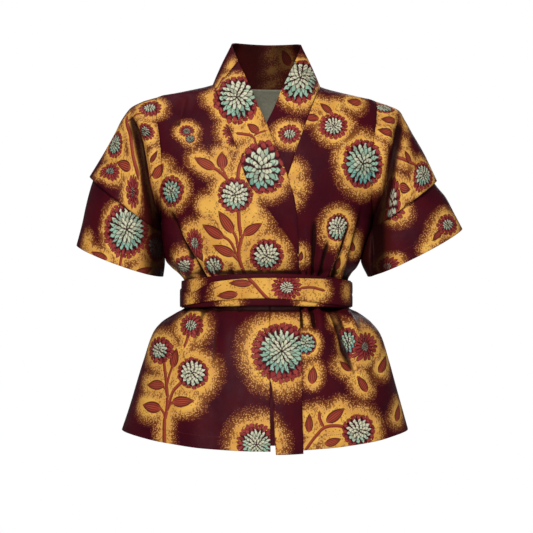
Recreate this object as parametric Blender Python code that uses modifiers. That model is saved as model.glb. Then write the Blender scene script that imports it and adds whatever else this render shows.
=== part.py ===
import bpy
import bmesh
import math
from mathutils import Vector

# Belted wrap jacket with short double sleeves, hollow as when it is worn.
# Sizes here are millimetres and the mesh is made in metres. +Z is up, the front faces -Y,
# and the wearer's left is at +X. The origin is the middle of the neck, level with the
# high points of the shoulders.

MM = 0.001
WALL = 1.5
SEAM = 0.4
STAND_GAP = 1.3
SQUARE = 2.3
LAP = 2.2
LAP_RUN = (52.0, 8.0)
TILT = 0.019

ARMHOLE_TOP = -20.5
ARMHOLE_BOTTOM = -222.0
ARMHOLE_DEPTH = {"front": 80.0, "back": 85.0}
ARMHOLE_CELLS = 10
ARMHOLE_CLEAR = {"all": 1.1, "under_arm": 1.6}

BELT_TOP = -326.0
BELT_BOTTOM = -371.0
BELT_MIDDLE = -348.0
BELT_RISE = 13.0
BELT_STAND = 5.0
BELT_STEP = 2.5

HEM = -575.0
HEM_DROP = {"front": 22.0, "back": 12.0}
VENT_TOP = -474.0
VENT_STAND = 2.0
VENT_DROP = 5.0
BAND_END = -281.0
HIDDEN_EDGE = (50.0, 38.0)
HIDDEN_HEM = Vector((0, 3.5, 9))

FACING_LEVELS = (-3, -12, -26, -44, -64, -86)
FACING_REACH = 74.0
FACING_SHARE = 0.66
FACING_CELLS = 12
FACING_GAP = 0.7
FACING_DROP = -2.5

FRONT_CELLS = 20
BACK_CELLS = 26
NECKLINE = 2.8
NECK_TOP = 3.0
NECK_TIP = 0.5
NECK_LEVEL = -3.0
NECK_JOINT = (-10.5, -12.5)
BAND_CELLS = 3
COLLAR_BULGE = 1.5
BELT_CELLS = 44


def columns(names, *rows):
    keys = names.split()
    return {key: [row[spot] for row in rows] for spot, key in enumerate(keys)}


# The body from the neck to the hem: half width at the wearer's right and left, and the
# depth in front of and behind the side seams.
BODY = columns(
    "height right left front back",
    (3, 90, 90, 26, 75),
    (-2, 105, 105, 36, 78),
    (-7, 126, 126, 48, 80),
    (-13, 152, 152, 58, 83),
    (-20.5, 184, 184, 66, 86),
    (-40, 183, 183, 80, 92),
    (-60, 181, 181, 90, 97),
    (-90, 176, 176, 102, 101),
    (-121, 173, 173, 112, 104),
    (-152, 172, 172, 119, 105),
    (-181, 173, 173, 123, 104),
    (-203, 175, 175, 124, 103),
    (-222, 177, 177, 124, 102),
    (-236, 171.5, 172.5, 123, 101),
    (-262, 169, 165, 121, 99),
    (-290, 167, 158, 114, 95),
    (-303, 160, 152, 106, 91),
    (-313, 148, 143, 98.9, 86.4),
    (-326, 138.5, 137, 99, 86),
    (-371, 138, 138, 99, 86),
    (-380, 152, 155, 108, 95),
    (-396, 177, 176, 120, 108),
    (-414, 191, 190, 129, 118),
    (-458, 206, 205, 143, 133),
    (-510, 222, 220, 156, 147),
    (-575, 241, 238, 168, 160),
)

# The wrap, as the wearer's right front has it: where its panel ends, and the free edge.
# The left front mirrors it down to the waist, and there runs on straight, out of sight.
WRAP = columns(
    "height panel_right panel_left edge",
    (3, -90, -90, -60),
    (-20, -81.5, -81.5, -38),
    (-40, -74, -74, -15),
    (-60, -66.5, -66.5, -3),
    (-95, -54, -54, 10),
    (-136, -41, -41, 27.6),
    (-168, -29, -29, 38),
    (-189, -11.5, -11.5, 44.5),
    (-221, 11.3, 11.3, 49),
    (-250, 32.4, 32.4, 51),
    (-280, 49, 49, 52.3),
    (-290, 52.3, 52.3, 52.3),
    (-330, 52.3, 52.3, 52.3),
    (-345, 42, 52, 52.3),
    (-362, 5.3, 52, 52.3),
    (-372, 5, 52, 52.3),
    (-474, 5, 51, 52.3),
    (-575, 6.5, 50, 52.3),
)

# The band down the slit below the belt, from its seam to its free edge.
VENT_BAND = columns(
    "height seam edge",
    (-352, 40, 54),
    (-362, 8.4, 54),
    (-371, 8.4, 54),
    (-474, 8.4, 56.3),
    (-575, 14.9, 58.5),
)

# The free edge of the standing collar, from the middle of the back to the front.
COLLAR_BACK = columns(
    "turn x y z",
    (0, 0, 62, 80),
    (30, 29, 55, 80),
    (60, 50, 35, 79),
    (90, 58, 8, 73),
)
COLLAR_FRONT = columns(
    "height x y z",
    (3, 58, 8, 73),
    (-8, 50, -18, 49),
    (-20.5, 38.5, -42, 23),
    (-26, 32.5, -53, 9),
    (-40, 22, -67, -14),
    (-61, 5, -89, -52),
)
COLLAR_BACK_TURNS = (0, 22, 45, 68)

# Sleeve layers: each row is a ring, from its place under the arm (in) to its place on
# the outer edge (out), with how deep it is in front and behind.
UPPER_SLEEVE = {
    "right": columns(
        "ring in_x in_z out_x out_z front back",
        (1, 179.5, -226, 207, -27, 80, 85),
        (2, 179.2, -229, 228, -38, 79, 84),
        (3, 178.8, -232, 243, -57, 77, 82),
        (4, 178.4, -235, 255, -80, 75, 80),
        (5, 177.8, -239, 275, -115, 75, 79),
        (6, 176.8, -243, 298, -152, 77, 81),
    ),
    "left": columns(
        "ring in_x in_z out_x out_z front back",
        (1, 179.8, -226, 203, -26, 80, 85),
        (2, 179.4, -229, 223, -35, 79, 84),
        (3, 178.8, -232, 233, -51, 77, 82),
        (4, 178.0, -234, 245, -73, 75, 80),
        (5, 177.4, -237, 264, -106, 75, 79),
        (6, 177.0, -240, 287, -155, 77, 81),
    ),
}
LOWER_SLEEVE = {
    "right": columns(
        "ring in_x in_z out_x out_z front back",
        (1, 182, -226, 276, -126, 67, 71),
        (2, 181, -246, 292, -158, 71, 75),
        (3, 178, -270, 303, -195, 74, 78),
        (4, 176.2, -294, 311, -231, 76, 80),
        (5, 175.5, -318, 320, -265, 77, 81),
    ),
    "left": columns(
        "ring in_x in_z out_x out_z front back",
        (1, 182, -226, 268, -126, 67, 71),
        (2, 181, -244, 284, -161, 71, 75),
        (3, 174.5, -266, 302, -184, 74, 78),
        (4, 167.5, -290, 316, -211, 76, 80),
        (5, 171.5, -318, 330, -237.5, 77, 81),
    ),
}
SLEEVE_RINGS = {"upper": 8, "lower": 5}
CUFF_SAG = {"upper": 3.0, "lower": 7.0}

# Folds in the cloth, each from its far end to the end at the belt or seam. A positive
# depth is a trough.
FOLDS = columns(
    "piece far_x far_z near_x near_z width depth",
    ("front_right", -163, -206, -132, -276, 9, 5),
    ("front_right", -138, -262, -101, -322, 9, 7),
    ("front_right", -158, -282, -138, -326, 8, 4),
    ("front_right", -133, -8, -145, -70, 13, 4),
    ("front_right", -179, -402, -146, -368, 9, 5),
    ("front_right", -122, -440, -104, -368, 12, 4),
    ("front_right", -88, -470, -80, -368, 10, 3),
    ("front_left", 77, -226, 77, -322, 9, 7),
    ("front_left", 101, -262, 88, -324, 9, 6),
    ("front_left", 136, -236, 112, -322, 11, 8),
    ("front_left", 160, -214, 133, -320, 10, 6),
    ("front_left", 84, -412, 72, -368, 8, 5),
    ("front_left", 150, -500, 102, -366, 13, 9),
    ("front_left", 140, -430, 116, -366, 8, 6),
    ("front_left", 168, -402, 134, -366, 9, 6),
    ("back", -104, -236, -92, -322, 11, 7),
    ("back", -58, -226, -54, -322, 10, 6),
    ("back", -14, -246, -16, -322, 10, 6),
    ("back", 30, -232, 26, -322, 10, 7),
    ("back", 76, -240, 68, -322, 11, 6),
    ("back", 122, -232, 104, -322, 11, 7),
    ("back", -136, -470, -102, -368, 13, 8),
    ("back", -70, -486, -58, -368, 13, 7),
    ("back", -18, -452, -16, -368, 12, 6),
    ("back", 34, -492, 28, -368, 13, 8),
    ("back", 90, -466, 74, -368, 12, 6),
    ("back", 148, -482, 112, -368, 13, 8),
)

# The long fold where each sleeve turns under the body in front.
ARM_FOLD = columns("height right left", (-50, 226, 220), (-90, 209, 212), (-133, 199, 203),
                   (-166, 194, 199), (-190, 188, 191), (-222, 177, 180))
ARM_FOLD_WIDTH = 9.0
ARM_FOLD_DEPTH = 11.0
ARM_FOLD_START = (-40.0, -95.0)

CLOTH = {"base_color": (0.13, 0.012, 0.014, 1), "roughness": 0.5}
BELT_CLOTH = {"base_color": (0.16, 0.02, 0.014, 1), "roughness": 0.5}
FACING_CLOTH = {"base_color": (0.10, 0.095, 0.05, 1), "roughness": 0.75}


def read(table, column, key, by="height"):
    # Smooth value between two rows, never past either of them.
    keys, values = table[by], table[column]
    last = len(keys) - 1
    way = 1 if keys[-1] > keys[0] else -1
    spot = 0
    while spot < last - 1 and (key - keys[spot + 1]) * way > 0:
        spot += 1
    steps = [(values[i + 1] - values[i]) / (keys[i + 1] - keys[i]) for i in range(last)]

    def slope(row):
        if row in (0, last):
            return steps[min(row, last - 1)]
        before, after = steps[row - 1], steps[row]
        return 0 if before * after <= 0 else 2 * before * after / (before + after)

    span = keys[spot + 1] - keys[spot]
    t = min(max((key - keys[spot]) / span, 0), 1)
    start, end = values[spot], values[spot + 1]
    return (
        start * (1 + 2 * t) * (1 - t) ** 2
        + end * (3 - 2 * t) * t**2
        + slope(spot) * span * t * (1 - t) ** 2
        - slope(spot + 1) * span * t**2 * (1 - t)
    )


def smooth(value, low, high):
    t = min(max((value - low) / (high - low), 0), 1)
    return t * t * (3 - 2 * t)


def armhole_half(height, face):
    middle = (ARMHOLE_TOP + ARMHOLE_BOTTOM) / 2
    ratio = (height - middle) / (ARMHOLE_TOP - middle)
    return ARMHOLE_DEPTH[face] * math.sqrt(max(0, 1 - ratio * ratio))


def girth(height, side, face):
    edge = read(BODY, "right" if side < 0 else "left", height)
    depth = read(BODY, face, height)
    cut = armhole_half(height, face) / depth
    return edge, edge / (1 - cut**SQUARE) ** (1 / SQUARE), depth


def skin(x, height, face):
    # Depth of the body's surface at a place across the front or back.
    full, depth = girth(height, x, face)[1:]
    out = depth * (1 - min(1, abs(x) / full) ** SQUARE) ** (1 / SQUARE)
    return -out if face == "front" else out


def lap(piece, x, height):
    # The upper front rides over the lower one, and comes back to the body beyond it.
    if piece != "front_right":
        return 0
    hidden = -read(WRAP, "edge", height)
    return LAP * smooth(x, hidden - LAP_RUN[0], hidden - LAP_RUN[1])


def trough(piece, x, height):
    depth = 0
    for spot, name in enumerate(FOLDS["piece"]):
        if name != piece:
            continue
        far = Vector((FOLDS["far_x"][spot], FOLDS["far_z"][spot]))
        run = Vector((FOLDS["near_x"][spot], FOLDS["near_z"][spot])) - far
        place = Vector((x, height)) - far
        t = place.dot(run) / run.length_squared
        across = place.cross(run) / run.length
        ends = smooth(t, 0, 0.7) * (1 - smooth(t, 1, 1.25))
        depth += FOLDS["depth"][spot] * ends * math.exp(-((across / FOLDS["width"][spot]) ** 2))
    return depth


def bow(x, height, face):
    # The hem hangs lower at the middle than at the sides.
    full = girth(height, x, face)[1]
    fall = smooth(height, BELT_BOTTOM, HEM)
    return HEM_DROP[face] * fall * (1 - min(1, abs(x) / full) ** 2)


def across(height, face, start, end, cells, piece="", stand=0, trim=(SEAM / 2, SEAM / 2)):
    # Points of one level of the body from start to end, evenly spaced along the cloth.
    turns = []
    for x in (start, end):
        full = girth(height, x, face)[1]
        turns.append(math.copysign(math.asin(min(1, abs(x) / full) ** (SQUARE / 2)), x))
    fine = 8 * cells
    path = []
    for step in range(fine + 1):
        turn = turns[0] + (turns[1] - turns[0]) * step / fine
        full, depth = girth(height, turn, face)[1:]
        x = math.copysign(full * abs(math.sin(turn)) ** (2 / SQUARE), turn)
        y = depth * max(0, math.cos(turn)) ** (2 / SQUARE)
        path.append(Vector((x, -y if face == "front" else y)))
    sums = [0]
    for before, after in zip(path, path[1:]):
        sums.append(sums[-1] + (after - before).length)
    row = []
    spot = 0
    for cell in range(cells + 1):
        goal = trim[0] + (sums[-1] - trim[0] - trim[1]) * cell / cells
        while spot < fine - 1 and sums[spot + 1] < goal:
            spot += 1
        gap = path[spot + 1] - path[spot]
        place = path[spot] + gap * ((goal - sums[spot]) / max(gap.length, 1e-9))
        out = Vector((gap.y, -gap.x)).normalized()
        if out.dot(place) < 0:
            out = -out
        x = place.x
        place = place + out * (stand + lap(piece, x, height) - trough(piece, x, height))
        row.append(Vector((place.x, place.y, height - bow(x, height, face))))
    return row


def lean(point):
    # The wearer's left shoulder sits a little lower than the right.
    fade = min(max((point.z - ARMHOLE_BOTTOM) / 200, 0), 1)
    return Vector((point.x, point.y, point.z - TILT * point.x * fade))


def armhole_levels():
    middle = (ARMHOLE_TOP + ARMHOLE_BOTTOM) / 2
    reach = ARMHOLE_TOP - middle
    return [middle + reach * math.cos(math.pi * i / ARMHOLE_CELLS) for i in range(ARMHOLE_CELLS + 1)]


def spaced(start, end, count):
    return [start + (end - start) * i / count for i in range(1, count + 1)]


def levels():
    below = [-232, -246, -262, -280, -294, -304, -313, -326, -345, -362, -371, -382, -397, -416]
    return [-8] + armhole_levels() + below + spaced(-416, HEM, 6)


def material(name, look):
    made = bpy.data.materials.new(name)
    made.use_nodes = True
    shader = made.node_tree.nodes["Principled BSDF"]
    shader.inputs["Base Color"].default_value = look["base_color"]
    shader.inputs["Roughness"].default_value = look["roughness"]
    shader.inputs["Metallic"].default_value = 0
    made.diffuse_color = look["base_color"]
    return made


def sheet(name, rows, look, closed=False):
    # A wall of cloth over rows of points. A closed one joins its last column to its first.
    height = len(rows) - 1
    width = len(rows[0]) - 1
    mesh = bpy.data.meshes.new(name)
    build = bmesh.new()
    bmesh.ops.create_grid(build, x_segments=width, y_segments=height, size=1)
    for vertex in build.verts:
        column = round((vertex.co.x + 1) / 2 * width)
        row = round((vertex.co.y + 1) / 2 * height)
        vertex.co = lean(rows[row][column]) * MM
    if closed:
        bmesh.ops.remove_doubles(build, verts=build.verts, dist=1e-6)
    build.to_mesh(mesh)
    build.free()
    mesh.materials.append(look)
    mesh.shade_smooth()
    made = bpy.data.objects.new(name, mesh)
    garment.objects.link(made)
    wall = made.modifiers.new("wall", "SOLIDIFY")
    wall.thickness = WALL * MM
    wall.offset = 0
    return made


def make_front(piece):
    side = -1 if piece == "front_right" else 1
    column = "panel_right" if side < 0 else "panel_left"
    name = "right" if side < 0 else "left"
    rows = []
    for height in [NECK_TIP] + levels():
        outer = side * read(BODY, name, height)
        inner = -side * read(WRAP, column, height)
        row = across(height, "front", outer, inner, FRONT_CELLS, piece)
        if side > 0:
            low = smooth(height, VENT_TOP, HEM)
            row = [point + HIDDEN_HEM * low * smooth(point.x, *HIDDEN_EDGE) for point in row]
        rows.append(row)
    sheet(piece, rows, cloth)


def make_back():
    rows = []
    for height in [NECKLINE] + levels():
        ends = [-read(BODY, "right", height), read(BODY, "left", height)]
        rows.append(across(height, "back", ends[0], ends[1], BACK_CELLS, "back"))
    sheet("back", rows, cloth)


def collar_row(side, seam_point, edge_point, clear=STAND_GAP):
    # One line of the standing collar, from its seam to its free edge, a little bowed out.
    run = edge_point - seam_point
    start = seam_point + run.normalized() * clear
    row = []
    for cell in range(BAND_CELLS + 1):
        share = cell / BAND_CELLS
        bulge = Vector((side * COLLAR_BULGE, 0, 0)) * math.sin(math.pi * share)
        row.append(start.lerp(edge_point, share) + bulge)
    return row


def back_collar_row(side, turn):
    angle = math.radians(turn)
    seam_x = side * read(BODY, "right", NECK_TOP) * math.sin(angle) ** (2 / SQUARE)
    seam_y = read(BODY, "back", NECK_TOP) * math.cos(angle) ** (2 / SQUARE)
    seam_point = Vector((seam_x, seam_y, NECK_TOP))
    edge = [read(COLLAR_BACK, key, turn, "turn") for key in "xyz"]
    clear = SEAM + (STAND_GAP - SEAM) * math.sin(angle) ** 2
    return collar_row(side, seam_point, Vector((side * edge[0], edge[1], edge[2])), clear)


def front_collar_row(side, height):
    piece = "front_right" if side < 0 else "front_left"
    seam_x = -side * read(WRAP, "panel_right", height)
    seam_y = skin(seam_x, height, "front")
    edge = [read(COLLAR_FRONT, key, height) for key in "xyz"]
    edge_x = side * edge[0]
    edge_y = edge[1] - lap(piece, edge_x, edge[2])
    return collar_row(side, Vector((seam_x, seam_y, height)), Vector((edge_x, edge_y, edge[2])))


def make_neck_band():
    side_rows = {}
    for side in (-1, 1):
        rows = [back_collar_row(side, turn) for turn in COLLAR_BACK_TURNS[1:]]
        shoulder = Vector((side * read(BODY, "right", NECK_TOP), 0, NECK_TOP))
        edge = [read(COLLAR_BACK, key, 90, "turn") for key in "xyz"]
        rows.append(collar_row(side, shoulder, Vector((side * edge[0], edge[1], edge[2]))))
        rows.append(front_collar_row(side, NECK_LEVEL))
        rows.append(front_collar_row(side, NECK_JOINT[0]))
        side_rows[side] = rows
    rows = side_rows[-1][::-1] + [back_collar_row(1, 0)] + side_rows[1]
    sheet("neck_band", rows, cloth)


def make_front_band(side):
    piece = "front_right" if side < 0 else "front_left"
    rows = [front_collar_row(side, NECK_JOINT[1])]
    for height in levels():
        if height > NECK_JOINT[1] - 2:
            continue
        seam_x = -side * read(WRAP, "panel_right", height)
        edge_x = -side * read(WRAP, "edge", height)
        if height > -45:
            rows.append(front_collar_row(side, height))
        elif height >= BAND_END:
            rows.append(across(height, "front", seam_x, edge_x, BAND_CELLS, piece, trim=(SEAM / 2, 0)))
    sheet("band_right" if side < 0 else "band_left", rows, cloth)


def make_vent_band():
    rows = []
    for height in VENT_BAND["height"][:2] + [step for step in levels() if step <= BELT_BOTTOM]:
        low = smooth(height, VENT_TOP, HEM)
        ends = [read(VENT_BAND, key, height) for key in ("seam", "edge")]
        row = across(height, "front", *ends, BAND_CELLS, "front_right", stand=VENT_STAND * low)
        rows.append([point + Vector((0, 0, -VENT_DROP * low)) for point in row])
    sheet("band_right_lower", rows, cloth)


def armhole_ring(side):
    # The first ring of a sleeve follows the panels' edges, a little further out.
    rows = []
    heights = armhole_levels()
    for face in ("front", "back"):
        order = heights if face == "front" else heights[-2:0:-1]
        for height in order:
            low = (ARMHOLE_TOP - height) / (ARMHOLE_TOP - ARMHOLE_BOTTOM)
            clear = ARMHOLE_CLEAR["all"] + ARMHOLE_CLEAR["under_arm"] * low**6
            edge = girth(height, side, face)[0] + clear
            depth = armhole_half(height, face)
            rows.append(Vector((side * edge, -depth if face == "front" else depth, height)))
    return rows


def sleeve_ring(side, table, ring, sag):
    inner = Vector((read(table, "in_x", ring, "ring"), 0, read(table, "in_z", ring, "ring")))
    outer = Vector((read(table, "out_x", ring, "ring"), 0, read(table, "out_z", ring, "ring")))
    middle, reach = (inner + outer) / 2, (outer - inner) / 2
    points = []
    for step in range(2 * ARMHOLE_CELLS):
        turn = math.pi * step / ARMHOLE_CELLS
        face = "front" if math.sin(turn) > 0 else "back"
        depth = read(table, face, ring, "ring") * math.sin(turn)
        point = middle + reach * math.cos(turn) + Vector((0, -depth, -sag * abs(math.sin(turn))))
        if face == "front":
            column = "right" if side < 0 else "left"
            away = (point.x - read(ARM_FOLD, column, point.z)) / ARM_FOLD_WIDTH
            share = math.exp(-away * away) * smooth(point.z, *ARM_FOLD_START)
            point.y += ARM_FOLD_DEPTH * share
        points.append(Vector((side * point.x, point.y, point.z)))
    return points


def make_sleeve(side, layer):
    name = "right" if side < 0 else "left"
    table = {"upper": UPPER_SLEEVE, "lower": LOWER_SLEEVE}[layer][name]
    rows = [armhole_ring(side)] if layer == "upper" else []
    last = table["ring"][-1]
    count = SLEEVE_RINGS[layer]
    for step in range(count + 1):
        share = step / count
        rows.append(sleeve_ring(side, table, 1 + (last - 1) * share, CUFF_SAG[layer] * share))
    rows = [row + row[:1] for row in rows]
    sheet(f"sleeve_{name}_{layer}", rows, cloth, closed=True)


def belt_point(turn, height, stand):
    # Turn runs from the middle of the front, over the wearer's left, round the back.
    face = "front" if math.cos(turn) > 0 else "back"
    full, depth = girth(BELT_MIDDLE, math.sin(turn), face)[1:]
    x = math.copysign(full * abs(math.sin(turn)) ** (2 / SQUARE), math.sin(turn))
    y = depth * abs(math.cos(turn)) ** (2 / SQUARE)
    y = -y if face == "front" else y
    slope = Vector((abs(x / full) ** (SQUARE - 1) / full, abs(y / depth) ** (SQUARE - 1) / depth))
    slope = Vector((math.copysign(slope.x, x), math.copysign(slope.y, y))).normalized()
    return Vector((x + slope.x * stand, y + slope.y * stand, height))


# Heights of the top wrap across the front, by degrees from the middle.
OVER_WRAP = columns(
    "turn top bottom",
    (-180, -326, -371),
    (-90, -340, -370),
    (-58, -345, -364),
    (-34, -327, -358),
    (0, -320.5, -353.5),
    (30, -321.5, -360),
    (60, -324, -367),
    (90, -329, -370),
    (180, -326, -371),
)


def make_belt(name, stand):
    rows = []
    for share in (0, 0.5, 1):
        row = []
        for step in range(BELT_CELLS):
            degrees = -180 + 360 * step / BELT_CELLS
            turn = math.radians(degrees)
            rise = BELT_RISE * max(0, math.cos(turn)) ** 2
            top, bottom = BELT_TOP + rise, BELT_BOTTOM + 0.4 * rise
            if name == "belt_over":
                top = read(OVER_WRAP, "top", degrees, "turn")
                bottom = read(OVER_WRAP, "bottom", degrees, "turn")
            row.append(belt_point(turn, top + (bottom - top) * share, stand))
        rows.append(row + row[:1])
    sheet(name, rows, belt_cloth, closed=True)


def make_facing():
    rows = []
    inside = -(WALL + FACING_GAP)
    for height in FACING_LEVELS:
        reach = min(FACING_REACH, read(BODY, "right", height) * FACING_SHARE)
        row = across(height, "back", -reach, reach, FACING_CELLS, "back", stand=inside)
        rows.append([point + Vector((0, 0, FACING_DROP * smooth(height, -50, -10))) for point in row])
    sheet("back_facing", rows, facing_cloth)


for leftover in list(bpy.data.objects):
    bpy.data.objects.remove(leftover, do_unlink=True)

garment = bpy.data.collections.new("wrap_jacket")
bpy.context.scene.collection.children.link(garment)
cloth = material("printed_cotton", CLOTH)
belt_cloth = material("belt_cotton", BELT_CLOTH)
facing_cloth = material("olive_facing", FACING_CLOTH)

make_back()
make_front("front_right")
make_front("front_left")
make_neck_band()
make_facing()
for wearer_side in (-1, 1):
    make_front_band(wearer_side)
    for sleeve_layer in ("upper", "lower"):
        make_sleeve(wearer_side, sleeve_layer)
make_vent_band()
make_belt("belt_under", BELT_STAND)
make_belt("belt_over", BELT_STAND + BELT_STEP)
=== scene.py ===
import math

import bmesh
import bpy
import numpy as np
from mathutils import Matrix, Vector


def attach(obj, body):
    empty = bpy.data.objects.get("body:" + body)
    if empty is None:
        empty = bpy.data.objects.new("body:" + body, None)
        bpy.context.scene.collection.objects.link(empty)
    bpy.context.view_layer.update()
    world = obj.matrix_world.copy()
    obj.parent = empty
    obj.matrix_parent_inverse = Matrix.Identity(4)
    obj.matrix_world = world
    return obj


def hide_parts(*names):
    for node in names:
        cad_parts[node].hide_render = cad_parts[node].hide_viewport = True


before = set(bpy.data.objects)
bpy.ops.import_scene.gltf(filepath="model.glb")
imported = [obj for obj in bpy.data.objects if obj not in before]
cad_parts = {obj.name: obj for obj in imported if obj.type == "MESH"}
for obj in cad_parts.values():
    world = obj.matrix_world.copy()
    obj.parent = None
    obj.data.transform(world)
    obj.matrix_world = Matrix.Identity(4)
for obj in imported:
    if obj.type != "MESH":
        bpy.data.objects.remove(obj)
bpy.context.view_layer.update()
print("frame loaded:", len(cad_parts), "nodes")

# Sizes are millimetres until a mesh is filled. +Z up, the front faces -Y, the wearer's left is +X.
mm = 0.001
cameraValues = {"distance": 3.0, "height": -0.3017, "lens": 119.9}


def addObject(name, data):
    made = bpy.data.objects.new(name, data)
    bpy.context.collection.objects.link(made)
    return made


def gridMesh(name, columns, rows, size):
    build = bmesh.new()
    bmesh.ops.create_grid(build, x_segments=columns, y_segments=rows, size=size)
    mesh = bpy.data.meshes.new(name)
    build.to_mesh(mesh)
    build.free()
    return mesh


def makeCamera():
    data = bpy.data.cameras.new("studioCamera")
    data.sensor_width = 36
    data.lens = cameraValues["lens"]
    data.clip_end = 50
    camera = addObject("studioCamera", data)
    camera.location = (0, -cameraValues["distance"], cameraValues["height"])
    camera.rotation_euler = (math.radians(90), 0, 0)
    bpy.context.scene.camera = camera


def table(names, *rows):
    keys = names.split()
    return {key: [row[spot] for row in rows] for spot, key in enumerate(keys)}


def on(names, *rows):
    # rows of a table that lie on the same pieces
    return [(names, *row) for row in rows]


def rowsFor(rows, name):
    # the rows whose first column names this piece, each with its place in the table
    first, *rest = rows.values()
    spots = [spot for spot, names in enumerate(first) if name in names.split()]
    return [(spot, [column[spot] for column in rest]) for spot in spots]


def valueAt(rows, column, key, by="height"):
    # smooth value between two rows, never past either of them
    keys, values = rows[by], rows[column]
    last = len(keys) - 1
    way = 1 if keys[-1] > keys[0] else -1
    spot = 0
    while spot < last - 1 and (key - keys[spot + 1]) * way > 0:
        spot += 1

    def step(row):
        return (values[row + 1] - values[row]) / (keys[row + 1] - keys[row])

    def slope(row):
        if row in (0, last):
            return step(min(row, last - 1))
        before, after = step(row - 1), step(row)
        return 0 if before * after <= 0 else 2 * before * after / (before + after)

    span = keys[spot + 1] - keys[spot]
    t = min(max((key - keys[spot]) / span, 0), 1)
    start, end = values[spot], values[spot + 1]
    curve = start * (1 + 2 * t) * (1 - t) ** 2 + end * (3 - 2 * t) * t**2
    return curve + slope(spot) * span * t * (1 - t) ** 2 - slope(spot + 1) * span * t**2 * (1 - t)


def fade(value, low, high):
    t = np.clip((value - low) / (high - low), 0, 1)
    return t * t * (3 - 2 * t)


# The body from the neck to the hem: half width at the wearer's right and left, and the depth
# in front of and behind the side seams.
bodyShape = table(
    "height right left front back",
    (3, 90, 90, 26, 75),
    (-2, 105, 105, 36, 78),
    (-7, 126, 126, 48, 80),
    (-13, 152, 152, 58, 83),
    (-20.5, 184, 184, 66, 86),
    (-40, 183, 183, 80, 92),
    (-60, 181, 181, 90, 97),
    (-90, 176, 176, 102, 101),
    (-121, 173, 173, 112, 104),
    (-152, 172, 172, 119, 105),
    (-181, 173, 173, 123, 104),
    (-203, 175, 175, 124, 103),
    (-222, 177, 177, 124, 102),
    (-236, 177, 175, 123, 101),
    (-262, 174.2, 166.8, 121, 99),
    (-290, 170, 158.3, 114, 95),
    (-303, 160, 152, 106, 91),
    (-313, 148, 143, 98.9, 86.4),
    (-326, 138.5, 137, 99, 86),
    (-371, 138, 138, 99, 86),
    (-380, 152, 155, 108, 95),
    (-396, 177, 176, 120, 108),
    (-414, 191, 190, 129, 118),
    (-458, 206, 205, 143, 133),
    (-510, 222, 220, 156, 147),
    (-575, 241, 238, 168, 160),
)
bodyValues = {
    "roundness": 2.3,
    "wall": 1.4,
    "seam": 0.04,
    "seamDip": 0.25,
    "seamCalm": 11,
    "seamSoft": 3.0,
    "hem": -575,
    "hemFall": {"front": 22, "back": 12},
    "lap": 2.2,
    "lapRun": (52, 8),
    "armholeTop": -20.5,
    "armholeBottom": -222,
    "armholeDepth": {"front": 80, "back": 85},
    "shoulderTilt": 0.019,
    "columns": {"front": 138, "back": 156},
    "rowStep": 2.6,
    "hiddenEdge": (50, 38),
    "hiddenLift": (0, 3.5, 9),
    "neckLevel": {"front": 2.3, "back": 2.8},
    "flareTop": -371,
    "arcSteps": 600,
    "wayLevels": (4, -600, 605),
    "neckRows": 9,
    "armholeRows": 60,
    "leanRun": 200,
    "noHem": 900,
}

# The wrap: where the wearer's right front panel ends, and the free edge of its band. The left
# front mirrors it down to the waist, and there runs on straight, out of sight.
wrapLine = table(
    "height panelRight panelLeft edge",
    (3, -90, -90, -60),
    (-20, -81.5, -81.5, -38),
    (-40, -74, -74, -15),
    (-60, -66.5, -66.5, -3),
    (-95, -54, -54, 10),
    (-136, -41, -41, 27.6),
    (-168, -29, -29, 38),
    (-189, -11.5, -11.5, 44.5),
    (-221, 11.3, 11.3, 49),
    (-250, 32.4, 32.4, 51),
    (-280, 49, 49, 52.3),
    (-290, 52.3, 52.3, 52.3),
    (-330, 52.3, 52.3, 52.3),
    (-345, 42, 52, 52.3),
    (-362, 5.3, 52, 52.3),
    (-372, 5, 52, 52.3),
    (-474, 5, 51, 52.3),
    (-575, 6.5, 50, 52.3),
)

# Folds, each from its far end to the end at the belt or seam: a trough with a gentle
# side and a steep one, and a ridge beyond the steep side.
folds = table(
    "piece farX farZ nearX nearZ width depth",
    *on("front_right", (-165, -196, -131, -282, 9, 10), (-138, -252, -101, -322, 7, 9),
        (-164, -276, -142, -326, 6, 6), (-133, -8, -145, -70, 12, 4), (-116, -276, -84, -324, 4, 3.4),
        (-60, -296, -52, -324, 4, 1.4), (-10, -300, -8, -324, 4, 1.2), (-181, -402, -146, -366, 7, 7),
        (-152, -392, -126, -366, 4, 2.6), (-122, -440, -104, -368, 11, 4), (-88, -470, -80, -368, 9, 3),
        (-48, -398, -44, -366, 5, 1.6)),
    *on("front_left", (77, -216, 77, -322, 7, 9), (101, -252, 88, -324, 6, 8),
        (138, -226, 112, -322, 8, 10), (162, -196, 134, -320, 8, 9), (122, -276, 100, -324, 4, 4),
        (62, -256, 66, -324, 4, 4), (60, -410, 57, -366, 7, 8), (82, -410, 76, -366, 7, 10),
        (150, -490, 106, -366, 15, 12), (138, -426, 120, -366, 7, 9), (172, -404, 144, -366, 8, 9),
        (196, -520, 168, -430, 16, 3)),
    *on("back", (-104, -236, -92, -322, 9, 7), (-80, -280, -74, -322, 4, 2.4),
        (-58, -226, -54, -322, 8, 6), (-14, -246, -16, -322, 8, 6), (10, -284, 6, -322, 4, 2.2),
        (30, -232, 26, -322, 8, 7), (76, -240, 68, -322, 9, 6), (98, -286, 88, -322, 4, 2.4),
        (122, -232, 104, -322, 9, 7), (-136, -470, -102, -368, 11, 8), (-92, -404, -82, -368, 5, 3),
        (-70, -486, -58, -368, 11, 7), (-18, -452, -16, -368, 10, 6), (34, -492, 28, -368, 11, 8),
        (62, -402, 52, -368, 5, 3), (90, -466, 74, -368, 10, 6), (148, -482, 112, -368, 11, 8)),
)


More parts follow.
